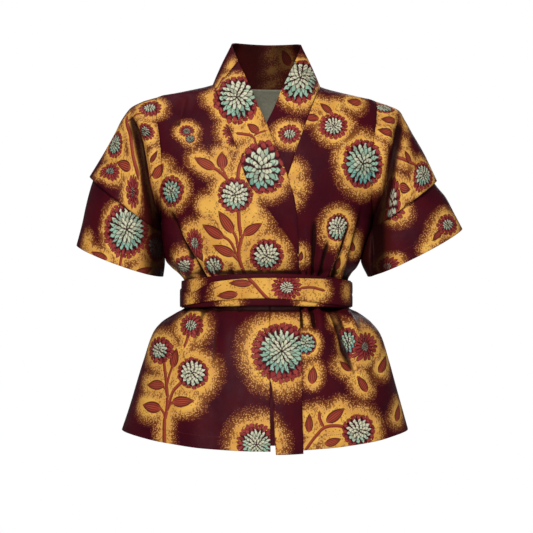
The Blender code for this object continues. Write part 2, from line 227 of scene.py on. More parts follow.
def armholeHalf(height, face):
    top, bottom = bodyValues["armholeTop"], bodyValues["armholeBottom"]
    ratio = (2 * height - top - bottom) / (top - bottom)
    return bodyValues["armholeDepth"][face] * math.sqrt(max(0, 1 - ratio * ratio))


def girth(height, side, face):
    square = bodyValues["roundness"]
    edge = valueAt(bodyShape, "right" if side < 0 else "left", height)
    depth = valueAt(bodyShape, face, height)
    cut = armholeHalf(height, face) / depth
    return edge, edge / (1 - cut**square) ** (1 / square), depth


def skin(x, height, face):
    square = bodyValues["roundness"]
    full, depth = girth(height, x, face)[1:]
    out = depth * (1 - min(1, abs(x) / full) ** square) ** (1 / square)
    return -out if face == "front" else out


def lapOf(piece, x, height):
    # the upper front rides over the lower one
    if piece != "front_right":
        return 0 * x
    hidden = -valueAt(wrapLine, "edge", height)
    return bodyValues["lap"] * fade(x, hidden - bodyValues["lapRun"][0], hidden - bodyValues["lapRun"][1])


def strokeAt(x, z, farX, farZ, nearX, nearZ):
    # where a place lies by a line: its share of the way along, and how far beside it
    runX, runZ = nearX - farX, nearZ - farZ
    length = math.hypot(runX, runZ)
    share = ((x - farX) * runX + (z - farZ) * runZ) / length**2
    return share, ((x - farX) * runZ - (z - farZ) * runX) / length


foldValues = {
    "grow": (-0.05, 0.5),
    "stop": (1, 1.25),
    "steep": 1.9,
    "gentle": 0.75,
    "trough": 1.2,
    "ridge": 0.34,
    "ridgePlace": 1.5,
    "ridgeWidth": 0.75,
}


def foldOf(piece, x, height):
    total = 0 * x
    for _, (farX, farZ, nearX, nearZ, width, depth) in rowsFor(folds, piece):
        share, away = strokeAt(x, height, farX, farZ, nearX, nearZ)
        away = away / width * math.copysign(1, nearX)
        ends = fade(share, *foldValues["grow"]) * (1 - fade(share, *foldValues["stop"]))
        trough = np.exp(-((away * np.where(away > 0, foldValues["steep"], foldValues["gentle"])) ** 2))
        ridge = np.exp(-(((away - foldValues["ridgePlace"]) / foldValues["ridgeWidth"]) ** 2))
        total = total + depth * ends * (foldValues["trough"] * trough - foldValues["ridge"] * ridge)
    return total


rippleValues = {
    "skirt": -385,
    "chest": (-60, -120),
    "waist": (-250, -310),
    "phase": {"front": 0.7, "back": 2.1},
    "skirtWaves": (1.7, 1.1),
    "chestWaves": (0.5, 0.35),
}


def rippleOf(x, height, face):
    # slow waves of the flared skirt and the soft chest, the same on every run
    low = fade(height, rippleValues["skirt"], bodyValues["hem"])
    high = fade(height, *rippleValues["chest"]) * (1 - fade(height, *rippleValues["waist"]))
    phase = rippleValues["phase"][face]
    wide, close = rippleValues["skirtWaves"]
    waves = wide * np.sin(x / 21 + phase) + close * np.sin(x / 11.5 + 2.6 * phase + height / 60)
    wide, close = rippleValues["chestWaves"]
    calm = wide * np.sin(x / 30 + height / 34 + phase) + close * np.sin(height / 19 - x / 47)
    return low * waves + high * calm


def levelArc(height, face):
    # the whole level line from side to side: x, y and the way along it from the middle
    key = (round(height, 3), face)
    if key not in arcStore:
        square, half = bodyValues["roundness"], bodyValues["arcSteps"]
        turn = np.linspace(-math.pi / 2, math.pi / 2, 2 * half + 1)
        right, left = girth(height, -1, face), girth(height, 1, face)
        full = np.where(turn < 0, right[1], left[1])
        x = np.sign(turn) * full * np.abs(np.sin(turn)) ** (2 / square)
        y = right[2] * np.clip(np.cos(turn), 0, 1) ** (2 / square)
        way = np.concatenate([[0], np.cumsum(np.hypot(np.diff(x), np.diff(y)))])
        arcStore[key] = x, -y if face == "front" else y, way - way[half]
    return arcStore[key]


arcStore = {}


def levelRow(height, face, start, end, cells, piece="", stand=0, trim=None):
    x, y, way = levelArc(height, face)
    trim = (bodyValues["seam"],) * 2 if trim is None else trim
    ends = np.interp((start, end), x, way)
    forward = 1 if ends[1] > ends[0] else -1
    goal = np.linspace(ends[0] + forward * trim[0], ends[1] - forward * trim[1], cells + 1)
    placeX, placeY = np.interp(goal, way, x), np.interp(goal, way, y)
    outX = np.interp(goal + 1, way, y) - np.interp(goal - 1, way, y)
    outY = np.interp(goal - 1, way, x) - np.interp(goal + 1, way, x)
    flip = np.sign(outX * placeX + outY * placeY)
    size = np.hypot(outX, outY) * np.where(flip == 0, 1, flip)
    # folds and ripples end at the side seams, so that front and back meet there
    calm = 1
    for end in ends:
        if abs(np.interp(end, way, y)) < 1:
            calm = calm * (1 - np.exp(-(((goal - end) / bodyValues["seamCalm"]) ** 2)))
    lift = stand + lapOf(piece, placeX, height) - foldOf(piece, placeX, height) * calm
    if piece:
        lift = lift + rippleOf(placeX, height, face) * calm
        soft = bodyValues["seamSoft"]
        for spot, gap in enumerate(trim):
            near = np.abs(goal - ends[spot]) / soft
            lift = lift - (bodyValues["seamDip"] * np.exp(-(near**2)) if gap else 0)
    full = np.where(placeX < 0, girth(height, -1, face)[1], girth(height, 1, face)[1])
    fall = bodyValues["hemFall"][face] * fade(height, bodyValues["flareTop"], bodyValues["hem"])
    drop = fall * (1 - np.minimum(1, np.abs(placeX) / full) ** 2)
    row = np.stack([placeX + outX / size * lift, placeY + outY / size * lift, height - drop], axis=1)
    return row, goal


def downWay(height):
    # how far down the cloth a level lies, along the middle of the front
    return np.interp(-height, wayStore[0], wayStore[1])


wayHeights = np.linspace(*bodyValues["wayLevels"])
wayDepths = np.array([valueAt(bodyShape, "front", height) for height in wayHeights])
wayStore = (-wayHeights, np.concatenate([[0], np.cumsum(np.hypot(np.diff(wayHeights), np.diff(wayDepths)))]))


def armholeLevels(cells):
    top, bottom = bodyValues["armholeTop"], bodyValues["armholeBottom"]
    return [(top + bottom) / 2 + (top - bottom) / 2 * math.cos(math.pi * i / cells) for i in range(cells + 1)]


def bodyLevels(first):
    top = list(np.linspace(first, bodyValues["armholeTop"], bodyValues["neckRows"]))[:-1]
    count = round((bodyValues["armholeBottom"] - bodyValues["hem"]) / bodyValues["rowStep"])
    low = list(np.linspace(bodyValues["armholeBottom"], bodyValues["hem"], count + 1))[1:]
    return top + armholeLevels(bodyValues["armholeRows"]) + low


pieces = {}


def lean(points):
    # the wearer's left shoulder sits a little lower than the right
    share = np.clip((points[..., 2] - bodyValues["armholeBottom"]) / bodyValues["leanRun"], 0, 1)
    moved = points.copy()
    moved[..., 2] -= bodyValues["shoulderTilt"] * points[..., 0] * share
    return moved


def smoothWay(points, axis):
    # how far along its own line each point lies
    steps = np.linalg.norm(np.diff(points, axis=axis), axis=2)
    start = np.zeros_like(steps.take([0], axis=axis))
    return np.cumsum(np.concatenate([start, steps], axis=axis), axis=axis)


def clothSheet(name, points, across=None, down=None, closed=False, edge=None, wall=None):
    # points is rows x columns x 3. across and down are the cloth's own coordinates, and edge is
    # the way from the stitched hem, all in millimetres.
    points = lean(np.asarray(points, float))
    rows, columns = points.shape[:2]
    across = smoothWay(points, 1) if across is None else np.broadcast_to(across, (rows, columns))
    down = smoothWay(points, 0) if down is None else np.broadcast_to(down, (rows, columns))
    edge = np.full((rows, columns), float(bodyValues["noHem"])) if edge is None else edge
    mesh = gridMesh(name + "_cloth", columns - 1, rows - 1, 1)
    flat = np.zeros(rows * columns * 3)
    mesh.vertices.foreach_get("co", flat)
    flat = flat.reshape(-1, 3)
    column = np.rint((flat[:, 0] + 1) / 2 * (columns - 1)).astype(int)
    row = np.rint((flat[:, 1] + 1) / 2 * (rows - 1)).astype(int)
    placed = points[row, column]
    mesh.vertices.foreach_set("co", (placed * mm).ravel())
    corners = np.zeros(len(mesh.loops), int)
    mesh.loops.foreach_get("vertex_index", corners)
    cloth = np.stack([across[row, column], down[row, column]], axis=1) * mm
    hemway = np.stack([across[row, column], edge[row, column]], axis=1) * mm
    mesh.uv_layers.new(name="cloth").uv.foreach_set("vector", cloth[corners].ravel())
    mesh.uv_layers.new(name="hem").uv.foreach_set("vector", hemway[corners].ravel())
    pieces[name] = {
        "object": addObject(name + "_cloth", mesh),
        "points": points,
        "across": np.array(across),
        "down": np.array(down),
        "row": row,
        "column": column,
        "corners": corners,
        "closed": closed,
        "wall": bodyValues["wall"] if wall is None else wall,
    }


def hangSheet(name, heights, rowAt):
    # a piece that hangs down to the hem, one row for each height
    rows, ways = zip(*[rowAt(height) for height in heights])
    down = downWay(np.array(heights))[:, None]
    edge = downWay(bodyValues["hem"]) - down + 0 * np.array(ways)
    clothSheet(name, rows, np.array(ways), down, edge=edge)


def finishSheet(name, material):
    # shut a tube's seam, turn the cloth outwards and give it its thickness
    piece = pieces[name]
    mesh = piece["object"].data
    build = bmesh.new()
    build.from_mesh(mesh)
    if piece["closed"]:
        bmesh.ops.remove_doubles(build, verts=build.verts, dist=1e-6)
    build.normal_update()
    middle = sum((vertex.co for vertex in build.verts), Vector()) / len(build.verts)
    middle = Vector((0, 0, middle.z)) if "sleeve" not in name else middle
    out = sum(face.normal.dot(face.calc_center_median() - middle) for face in build.faces)
    if out < 0:
        bmesh.ops.reverse_faces(build, faces=build.faces)
    build.to_mesh(mesh)
    build.free()
    mesh.materials.append(material)
    mesh.shade_smooth()
    wall = piece["object"].modifiers.new("wall", "SOLIDIFY")
    wall.thickness = piece["wall"] * mm
    wall.offset = 0
    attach(piece["object"], "root")


def makeFront(name):
    side, own = (-1, "Right") if name == "front_right" else (1, "Left")

    def rowAt(height):
        outer = side * valueAt(bodyShape, own.lower(), height)
        inner = -side * valueAt(wrapLine, "panel" + own, height)
        row, way = levelRow(height, "front", outer, inner, bodyValues["columns"]["front"], name)
        if side > 0:
            low = fade(height, ventValues["top"], bodyValues["hem"])
            inner = fade(row[:, 0], *bodyValues["hiddenEdge"])
            row = row + np.outer(low * inner, bodyValues["hiddenLift"])
        return row, way

    hangSheet(name, bodyLevels(bodyValues["neckLevel"]["front"]), rowAt)


def makeBack():
    def rowAt(height):
        ends = -valueAt(bodyShape, "right", height), valueAt(bodyShape, "left", height)
        return levelRow(height, "back", *ends, bodyValues["columns"]["back"], "back")

    hangSheet("back", bodyLevels(bodyValues["neckLevel"]["back"]), rowAt)


# The free edge of the standing collar, from the middle of the back to the front.
collarBack = table(
    "turn x y z",
    (0, 0, 62, 80),
    (30, 29, 55, 80),
    (60, 50, 35, 79),
    (90, 58, 8, 73),
)
collarFront = table(
    "height x y z",
    (3, 58, 8, 73),
    (-8, 50, -18, 49),
    (-20.5, 38.5, -42, 23),
    (-26, 32.5, -53, 9),
    (-40, 22, -67, -14),
    (-61, 5, -89, -52),
)
collarValues = {
    "seam": (90, 75, 3),
    "gap": 1.3,
    "backGap": 0.4,
    "shoulderGap": -1.4,
    "sideGap": -0.6,
    "bulge": 1.5,
    "joint": (-11.4, -11.6),
    "bandEnd": -281,
    "blend": (-36, -54),
    "cells": 24,
    "wall": 1.7,
    "roll": (0.5, 20),
    "turns": (22, 45, 68, 90),
    "sideLevel": -3,
    "between": 9,
    "bandLevels": (-15.5, -2.9),
    "bandTrim": (0.2, 0),
}


def collarRow(side, seam, edge, gap=None):
    # one line of the standing collar from its seam to its free edge
    seam, edge = np.array(seam, float), np.array(edge, float)
    gap = collarValues["gap"] if gap is None else gap
    start = seam + (edge - seam) / np.linalg.norm(edge - seam) * gap
    share = np.linspace(0, 1, collarValues["cells"] + 1)[:, None]
    bulge = side * collarValues["bulge"] * np.sin(math.pi * share)
    out, narrow = collarValues["roll"]
    roll = side * out * np.exp(-(((1 - share) * narrow) ** 2))
    return start + (edge - start) * share + np.array([1, 0, 0]) * (bulge + roll)


def backCollarRow(side, turn):
    angle = math.radians(turn)
    square = bodyValues["roundness"]
    wide, deep, high = collarValues["seam"]
    seamX = side * wide * math.sin(angle) ** (2 / square)
    seamY = deep * math.cos(angle) ** (2 / square)
    x, y, z = [valueAt(collarBack, key, turn, "turn") for key in "xyz"]
    middle, end = collarValues["backGap"], collarValues["shoulderGap"]
    gap = middle + (end - middle) * math.sin(angle) ** 2
    return collarRow(side, (seamX, seamY, high), (side * x, y, z), gap)


def frontCollarRow(side, height, gap=None):
    piece = "front_right" if side < 0 else "front_left"
    seamX = -side * valueAt(wrapLine, "panelRight", height)
    x, y, z = [valueAt(collarFront, key, height) for key in "xyz"]
    edge = (side * x, y - float(lapOf(piece, side * x, z)), z)
    return collarRow(side, (seamX, skin(seamX, height, "front"), height), edge, gap)


def threadThrough(rows, times):
    # more lines between the given ones, on a curve through them
    rows = np.array(rows)
    ahead = np.concatenate([[2 * rows[0] - rows[1]], rows, [2 * rows[-1] - rows[-2]]])
    fine = []
    for spot in range(len(rows) - 1):
        p, q, r, s = ahead[spot : spot + 4]
        for t in np.arange(times) / times:
            bend = (r - p) * t + (2 * p - 5 * q + 4 * r - s) * t**2 + (3 * q - p - 3 * r + s) * t**3
            fine.append(q + bend / 2)
    return np.array(fine + [rows[-1]])


def makeNeckBand():
    sides = {}
    for side in (-1, 1):
        rows = [backCollarRow(side, turn) for turn in collarValues["turns"]]
        rows.append(frontCollarRow(side, collarValues["sideLevel"], collarValues["sideGap"]))
        rows.append(frontCollarRow(side, collarValues["joint"][0]))
        sides[side] = rows
    rows = threadThrough(sides[-1][::-1] + [backCollarRow(1, 0)] + sides[1], collarValues["between"])
    clothSheet("neck_band", rows, wall=collarValues["wall"])


def makeFrontBand(side):
    piece = "front_right" if side < 0 else "front_left"
    end = collarValues["bandEnd"]
    first, step = collarValues["bandLevels"]
    heights = [collarValues["joint"][1]] + list(np.arange(first, end, step)) + [end]
    rows = []
    for height in heights:
        standing = frontCollarRow(side, height) if height > collarValues["blend"][1] else None
        seamX = -side * valueAt(wrapLine, "panelRight", height)
        edgeX = -side * valueAt(wrapLine, "edge", height)
        cells, trim = collarValues["cells"], collarValues["bandTrim"]
        lying = levelRow(height, "front", seamX, edgeX, cells, piece, trim=trim)[0]
        share = float(fade(height, *collarValues["blend"]))
        rows.append(lying if standing is None else standing * (1 - share) + lying * share)
    clothSheet("band_right" if side < 0 else "band_left", rows, wall=collarValues["wall"])


# The band beside the vent below the belt, from its seam to its free edge.
ventBand = table(
    "height seam edge",
    (-352, 40, 54),
    (-362, 5.6, 54),
    (-371, 5.4, 54),
    (-470, 5.4, 56.3),
    (-480, 8.4, 56.5),
    (-575, 14.9, 58.5),
)
ventValues = {"top": -474, "stand": 2, "drop": 5, "cells": 18, "levels": (7, 70)}


def makeVentBand():
    def rowAt(height):
        low = float(fade(height, ventValues["top"], bodyValues["hem"]))
        ends = [valueAt(ventBand, key, height) for key in ("seam", "edge")]
        stand = ventValues["stand"] * low
        row, way = levelRow(height, "front", *ends, ventValues["cells"], "front_right", stand)
        row[:, 2] -= ventValues["drop"] * low
        return row, way

    start, bend = ventBand["height"][0], ventBand["height"][2]
    above, below = ventValues["levels"]
    heights = list(np.linspace(start, bend, above)) + list(np.linspace(bend, bodyValues["hem"], below))[1:]
    hangSheet("band_right_lower", heights, rowAt)


# Sleeve layers: each row is a ring, from its place under the arm (in) to its place on the outer
# edge (out), with how deep it is in front and behind.
sleeveShape = {
    ("upper", -1): table(
        "ring inX inZ outX outZ front back",
        (1, 178.1, -226, 207, -27, 80, 85),
        (2, 178.9, -229, 228, -38, 79, 84),
        (3, 178.3, -232, 243, -57, 77, 82),
        (4, 177.8, -235, 255, -80, 75, 80),
        (5, 177.2, -239, 275, -115, 75, 79),
        (6, 176.8, -243, 298, -152, 77, 81),
    ),
    ("upper", 1): table(
        "ring inX inZ outX outZ front back",
        (1, 178.2, -226, 203, -26, 80, 85),
        (2, 178.0, -229, 223, -35, 79, 84),
        (3, 177.2, -232, 233, -51, 77, 82),
        (4, 176.6, -234, 245, -73, 75, 80),
        (5, 175.6, -237, 264, -106, 75, 79),
        (6, 174.8, -240, 287, -155, 77, 81),
    ),
    ("lower", -1): table(
        "ring inX inZ outX outZ front back",
        (1, 182, -226, 276, -126, 67, 71),
        (2, 176.4, -246, 292, -158, 71, 75),
        (3, 173.6, -270, 303, -195, 74, 78),
        (4, 172.2, -294, 311, -231, 76, 80),
        (5, 175.5, -318, 320, -265, 77, 81),
    ),
    ("lower", 1): table(
        "ring inX inZ outX outZ front back",
        (1, 182, -226, 268, -126, 67, 71),
        (2, 172.6, -244, 284, -161, 71, 75),
        (3, 165.2, -266, 302, -184, 74, 78),
        (4, 160, -290, 316, -211, 76, 80),
        (5, 171.5, -318, 330, -237.5, 77, 81),
    ),
}
# the long fold where each sleeve turns under the body in front
armFold = table(
    "height right left",
    (-50, 226, 220),
    (-90, 209, 212),
    (-133, 199, 203),
    (-166, 194, 199),
    (-190, 188, 191),
    (-222, 177, 180),
)
sleeveValues = {
    "cells": 80,
    "rings": {"upper": 46, "lower": 52},
    "sag": {"upper": 3, "lower": 7},
    "foldWidth": 9,
    "foldDepth": 15,
    "foldStart": (-34, -80),
    "clear": (0.6, 0.9),
    "ripple": {"upper": 1.3, "lower": 1.0},
    "foldSides": (0.7, 1.7),
    "foldRidge": (0.2, 1.4, 3),
    "shoulderRows": (0.25, 0.5, 0.75),
}


def armholeRing(side):
    rows = []
    heights = armholeLevels(sleeveValues["cells"])
    top, bottom = bodyValues["armholeTop"], bodyValues["armholeBottom"]
    for face in ("front", "back"):
        for height in heights if face == "front" else heights[-2:0:-1]:
            low = (top - height) / (top - bottom)
            edge = girth(height, side, face)[0] + sleeveValues["clear"][0] + sleeveValues["clear"][1] * low**6
            depth = armholeHalf(height, face)
            rows.append((side * edge, -depth if face == "front" else depth, height))
    return np.array(rows)


def sleeveRing(side, layer, ring):
    shape = sleeveShape[layer, side]
    last = shape["ring"][-1]
    inX, inZ, outX, outZ = [valueAt(shape, key, ring, "ring") for key in ("inX", "inZ", "outX", "outZ")]
    share = (ring - 1) / (last - 1)
    sag = sleeveValues["sag"][layer] * share
    inner, outer = sleeveValues["foldSides"]
    ridge, place, narrow = sleeveValues["foldRidge"]
    points = []
    for step in range(2 * sleeveValues["cells"]):
        turn = math.pi * step / sleeveValues["cells"]
        face = "front" if math.sin(turn) > 0 else "back"
        y = -valueAt(shape, face, ring, "ring") * math.sin(turn)
        x = (inX + outX) / 2 + (outX - inX) / 2 * math.cos(turn)
        z = (inZ + outZ) / 2 + (outZ - inZ) / 2 * math.cos(turn) - sag * abs(math.sin(turn))
        if face == "front":
            away = (x - valueAt(armFold, "right" if side < 0 else "left", z)) / sleeveValues["foldWidth"]
            trough = math.exp(-((away * (inner if away > 0 else outer)) ** 2))
            trough -= ridge * math.exp(-((away + place) ** 2) * narrow)
            y += sleeveValues["foldDepth"] * trough * float(fade(z, *sleeveValues["foldStart"]))
        wave = math.sin(7 * turn + 1.3 * side + 2 * share) + 0.6 * math.sin(12 * turn - side)
        y += sleeveValues["ripple"][layer] * share * wave * math.sin(turn)
        points.append((side * x, y, z))
    return np.array(points)


def makeSleeve(side, layer):
    rings = sleeveValues["rings"][layer]
    last = sleeveShape[layer, side]["ring"][-1]
    rows = [sleeveRing(side, layer, 1 + (last - 1) * step / rings) for step in range(rings + 1)]
    if layer == "upper":
        rows = [armholeRing(side)] + rows
        first, second = rows[0], rows[1]
        rows[1:1] = [first + (second - first) * share for share in sleeveValues["shoulderRows"]]
    # the tube's seam is turned to lie under the arm
    cells = sleeveValues["cells"]
    rows = np.array([np.roll(row, cells, axis=0) for row in rows])
    rows = np.concatenate([rows, rows[:, :1]], axis=1)
    across = smoothWay(rows, 1)
    across = across - across[:, cells : cells + 1]
    down = smoothWay(rows, 0)
    name = f"sleeve_{'right' if side < 0 else 'left'}_{layer}"
    clothSheet(name, rows, across, down, closed=True, edge=down[-1] - down)


# Heights of the belt's second wrap all round, by degrees from the middle of the front.
overWrap = table(
    "turn top bottom",
    (-180, -326, -371),
    (-90, -340, -370),
    (-58, -345, -364),
    (-34, -327, -358),
    (0, -320.5, -353.5),
    (30, -321.5, -360),
    (60, -324, -367),
    (90, -329, -370),
    (180, -326, -371),
)
beltFolds = table(
    "piece farTurn farShare nearTurn nearShare width depth",
    *on("belt_over", (-58, 1.0, -22, 0.05, 2.6, 1.3), (-70, 0.6, -40, 0.9, 2.0, 0.8),
        (62, 0.3, 95, 0.55, 2.4, 0.9), (8, 0.75, 46, 0.86, 2.0, 0.5), (140, 0.5, 178, 0.4, 2.4, 0.8),
        (-170, 0.55, -120, 0.45, 2.4, 0.8)),
    *on("belt_under", (30, 0.2, 80, 0.35, 2.4, 0.7), (-80, 0.3, -35, 0.2, 2.4, 0.7)),
)
beltValues = {
    "top": -326,
    "bottom": -371,
    "middle": -348,
    "rise": 13,
    "stand": {"belt_under": 5.0, "belt_over": 7.5},
    "cells": 300,
    "rows": 18,
    "perDegree": 2.1,
    "wide": 42,
    "foldEnds": (0, 0.25, 0.75, 1),
    "lowRise": 0.4,
    "edgeRoll": 0.5,
}


def makeBelt(name):
    square = bodyValues["roundness"]
    degrees = np.linspace(-180, 180, beltValues["cells"] + 1)
    turn = np.radians(degrees)
    front = np.cos(turn) > 0
    faces = np.where(front, "front", "back")
    sizes = [girth(beltValues["middle"], side, face) for side, face in zip(np.sin(turn), faces)]
    full, depth = np.array(sizes)[:, 1:].T
    x = np.sign(np.sin(turn)) * full * np.abs(np.sin(turn)) ** (2 / square)
    y = np.where(front, -1, 1) * depth * np.abs(np.cos(turn)) ** (2 / square)
    outX = np.sign(x) * np.abs(x / full) ** (square - 1) / full
    outY = np.sign(y) * np.abs(y / depth) ** (square - 1) / depth
    size = np.hypot(outX, outY)
    rise = beltValues["rise"] * np.maximum(0, np.cos(turn)) ** 2
    top, bottom = beltValues["top"] + rise, beltValues["bottom"] + beltValues["lowRise"] * rise
    if name == "belt_over":
        top = np.array([valueAt(overWrap, "top", d, "turn") for d in degrees])
        bottom = np.array([valueAt(overWrap, "bottom", d, "turn") for d in degrees])
    scale, wide, ends = [beltValues[key] for key in ("perDegree", "wide", "foldEnds")]
    rows = []
    for share in np.linspace(0, 1, beltValues["rows"] + 1):
        height = top + (bottom - top) * share
        stand = beltValues["stand"][name] - beltValues["edgeRoll"] * (2 * share - 1) ** 6 + 0 * x
        for _, (farTurn, farShare, nearTurn, nearShare, width, deep) in rowsFor(beltFolds, name):
            line = farTurn * scale, farShare * wide, nearTurn * scale, nearShare * wide
            t, away = strokeAt(degrees * scale, share * wide, *line)
            shown = fade(t, *ends[:2]) * (1 - fade(t, *ends[2:]))
            stand = stand - deep * shown * np.exp(-((away / width) ** 2))
        rows.append(np.stack([x + outX / size * stand, y + outY / size * stand, height], axis=1))
    across = smoothWay(np.array(rows), 1)
    across = across - across[:, beltValues["cells"] // 2 : beltValues["cells"] // 2 + 1]
    clothSheet(name, rows, across, closed=True)


facingValues = {"levels": (4.2, -86), "rows": 31, "cells": 50, "reach": 74, "share": 0.66, "stand": -2.2}


def makeFacing():
    rows = []
    for height in np.linspace(*facingValues["levels"], facingValues["rows"]):
        reach = min(facingValues["reach"], valueAt(bodyShape, "right", height) * facingValues["share"])
        row = levelRow(height, "back", -reach, reach, facingValues["cells"], stand=facingValues["stand"])[0]
        rows.append(row)
    clothSheet("back_facing", rows)


makeCamera()
makeFront("front_right")
makeFront("front_left")
makeBack()
print("body panels done")
makeNeckBand()
makeFacing()
for wearerSide in (-1, 1):
    makeFrontBand(wearerSide)
    for sleeveLayer in ("upper", "lower"):
        makeSleeve(wearerSide, sleeveLayer)
makeVentBand()
print("collar, bands and sleeves done")
makeBelt("belt_under")
makeBelt("belt_over")
print("belt done")

# The print, laid out in tables. x and z say where a motif shows, seen from the front or, for the
# back tables, from behind with x still to the wearer's left. Sizes are its own, on the cloth.
frontBlooms = table(
    "on x z size inner petals tint halo tall",
    *on("front_right", (-53, -181, 61, 45, 10, 0.3, 14, 1), (0, -284, 58, 42, 10, 0.35, 14, 1)),
    ("front_right sleeve_right_upper", -161, -175, 40, 28, 9, 0.75, 4, 1.35),
    *on("front_right", (-135, -73, 27, 12, 8, 0.6, 4, 0.8), (-129, -86, 17, 14, 8, 0.8, 2, 0.9),
        (-121, -262, 34, 13, 8, 0.4, 6, 1.5), (-139, -301, 34, 21, 8, 0.4, 12, 1),
        (-89, -301, 35, 26, 8, 0.5, 12, 1), (-60, -73, 30, 4, 8, 0.2, 9, 1),
        (-56, -90, 22, 4, 8, 0.2, 9, 1)),
    ("band_right neck_band front_right", -50, -16, 82, 62, 13, 0.5, 5, 1),
    ("band_right", -8, -137, 82, 62, 10, 0.6, 12, 1.08),
    ("neck_band band_left", 57, 17, 76, 61, 13, 0.4, 3, 1),
    ("band_left", 39, -78, 40, 19, 8, 0.35, 7, 0.78),
    ("front_left sleeve_left_upper", 163, -128, 68, 54, 13, 0.75, 10, 1.25),
    *on("front_left", (113, -64, 50, 30, 10, 0.2, 9, 0.9), (121, -236, 42, 34, 10, 0.3, 9, 1.15),
        (166, -437, 46, 14, 9, 0.4, 8, 1.1), (138, -430, 34, 22, 8, 0.9, 4, 1.6),
        (66, -432, 38, 31, 8, 0.8, 4, 1), (156, -580, 57, 42, 10, 0.25, 19, 1)),
    ("sleeve_right_upper front_right", -197, -34, 40, 20, 8, 0.3, 6, 0.72),
    *on("sleeve_right_upper", (-206, -73, 25, 13, 8, 0.5, 4, 1.3), (-256, -95, 38, 26, 10, 0.5, 8, 1.25),
        (-264, -140, 40, 14, 8, 0.9, 5, 0.7), (-226, -176, 30, 8, 7, 0.3, 5, 1.1)),
    *on("sleeve_right_lower", (-236, -239, 80, 60, 15, 0.6, 3, 1.17),
        (-187, -270, 46, 34, 10, 0.9, 3, 1.1)),
    *on("sleeve_left_upper", (198, -34, 40, 26, 8, 0.4, 4, 0.6), (265, -147, 46, 32, 10, 0.45, 7, 1)),
    ("sleeve_left_upper sleeve_left_lower", 213, -200, 38, 20, 8, 0.4, 3, 1.5),
    *on("sleeve_left_lower", (306, -231, 37, 18, 8, 0.3, 8, 1), (204, -301, 38, 14, 8, 0.3, 2, 0.8)),
    ("belt_over", 34, -337, 52, 22, 9, 0.2, 14, 0.9),
    *on("front_right", (-125, -482, 54, 42, 10, 0.15, 20, 1), (-128, -401, 44, 18, 8, 0.5, 16, 1),
        (-181, -443, 47, 27, 8, 0.4, 12, 1)),
    *on("front_right band_right_lower", (-17, -603, 70, 48, 14, 0.55, 20, 1),
        (26, -445, 104, 73, 16, 0.62, 24, 1)),
)
frontLeaves = table(
    "on x z length width turn halo",
    *on("front_right", (-105, -127, 41, 18, -62, 9), (-75, -122, 29, 20, -4, 10),
        (-69, -226, 46, 19, -34, 15), (-91, -242, 43, 19, -57, 15), (-23, -238, 38, 18, 58, 15),
        (-73, -274, 42, 18, -65, 15), (-113, -283, 26, 11, 150, 10)),
    ("band_right", -23, -68, 25, 15, -52, 13),
    *on("front_left", (74, -50, 30, 14, -82, 6), (100, -34, 27, 12, -50, 5), (148, -24, 26, 13, -80, 4),
        (141, -264, 26, 12, -20, 9), (120, -297, 24, 11, 20, 9), (58, -284, 18, 9, 10, 8),
        (78, -485, 31, 17, 6, 6), (72, -566, 33, 14, 2, 12), (117, -553, 39, 19, 52, 12),
        (113, -598, 30, 15, 70, 12), (198, -466, 36, 16, 30, 10), (162, -500, 32, 15, -30, 10),
        (222, -548, 34, 16, 24, 10), (132, -470, 26, 12, -50, 9)),
    ("sleeve_right_upper", -241, -131, 34, 15, -76, 6),
    ("sleeve_right_upper front_right", -182, -140, 31, 17, 32, 7),
    ("sleeve_right_upper", -190, -116, 24, 9, 30, 5),
    *on("sleeve_left_upper", (206, -54, 26, 13, -84, 3), (202, -74, 30, 14, -76, 3),
        (238, -116, 24, 11, -30, 3), (234, -170, 26, 12, 100, 2)),
    *on("sleeve_right_lower", (-205, -309, 32, 13, 72, 9), (-283, -283, 30, 13, -66, 9)),
    ("sleeve_left_lower", 288, -250, 24, 11, -140, 8),
    *on("belt_over", (-67, -350, 37, 15, -96, 12), (-45, -330, 40, 14, -88, 8)),
    *on("front_right", (-155, -456, 35, 15, 12, 12), (-188, -502, 30, 18, -92, 12),
        (-195, -539, 33, 21, -78, 14), (-141, -530, 38, 20, 86, 14)),
)
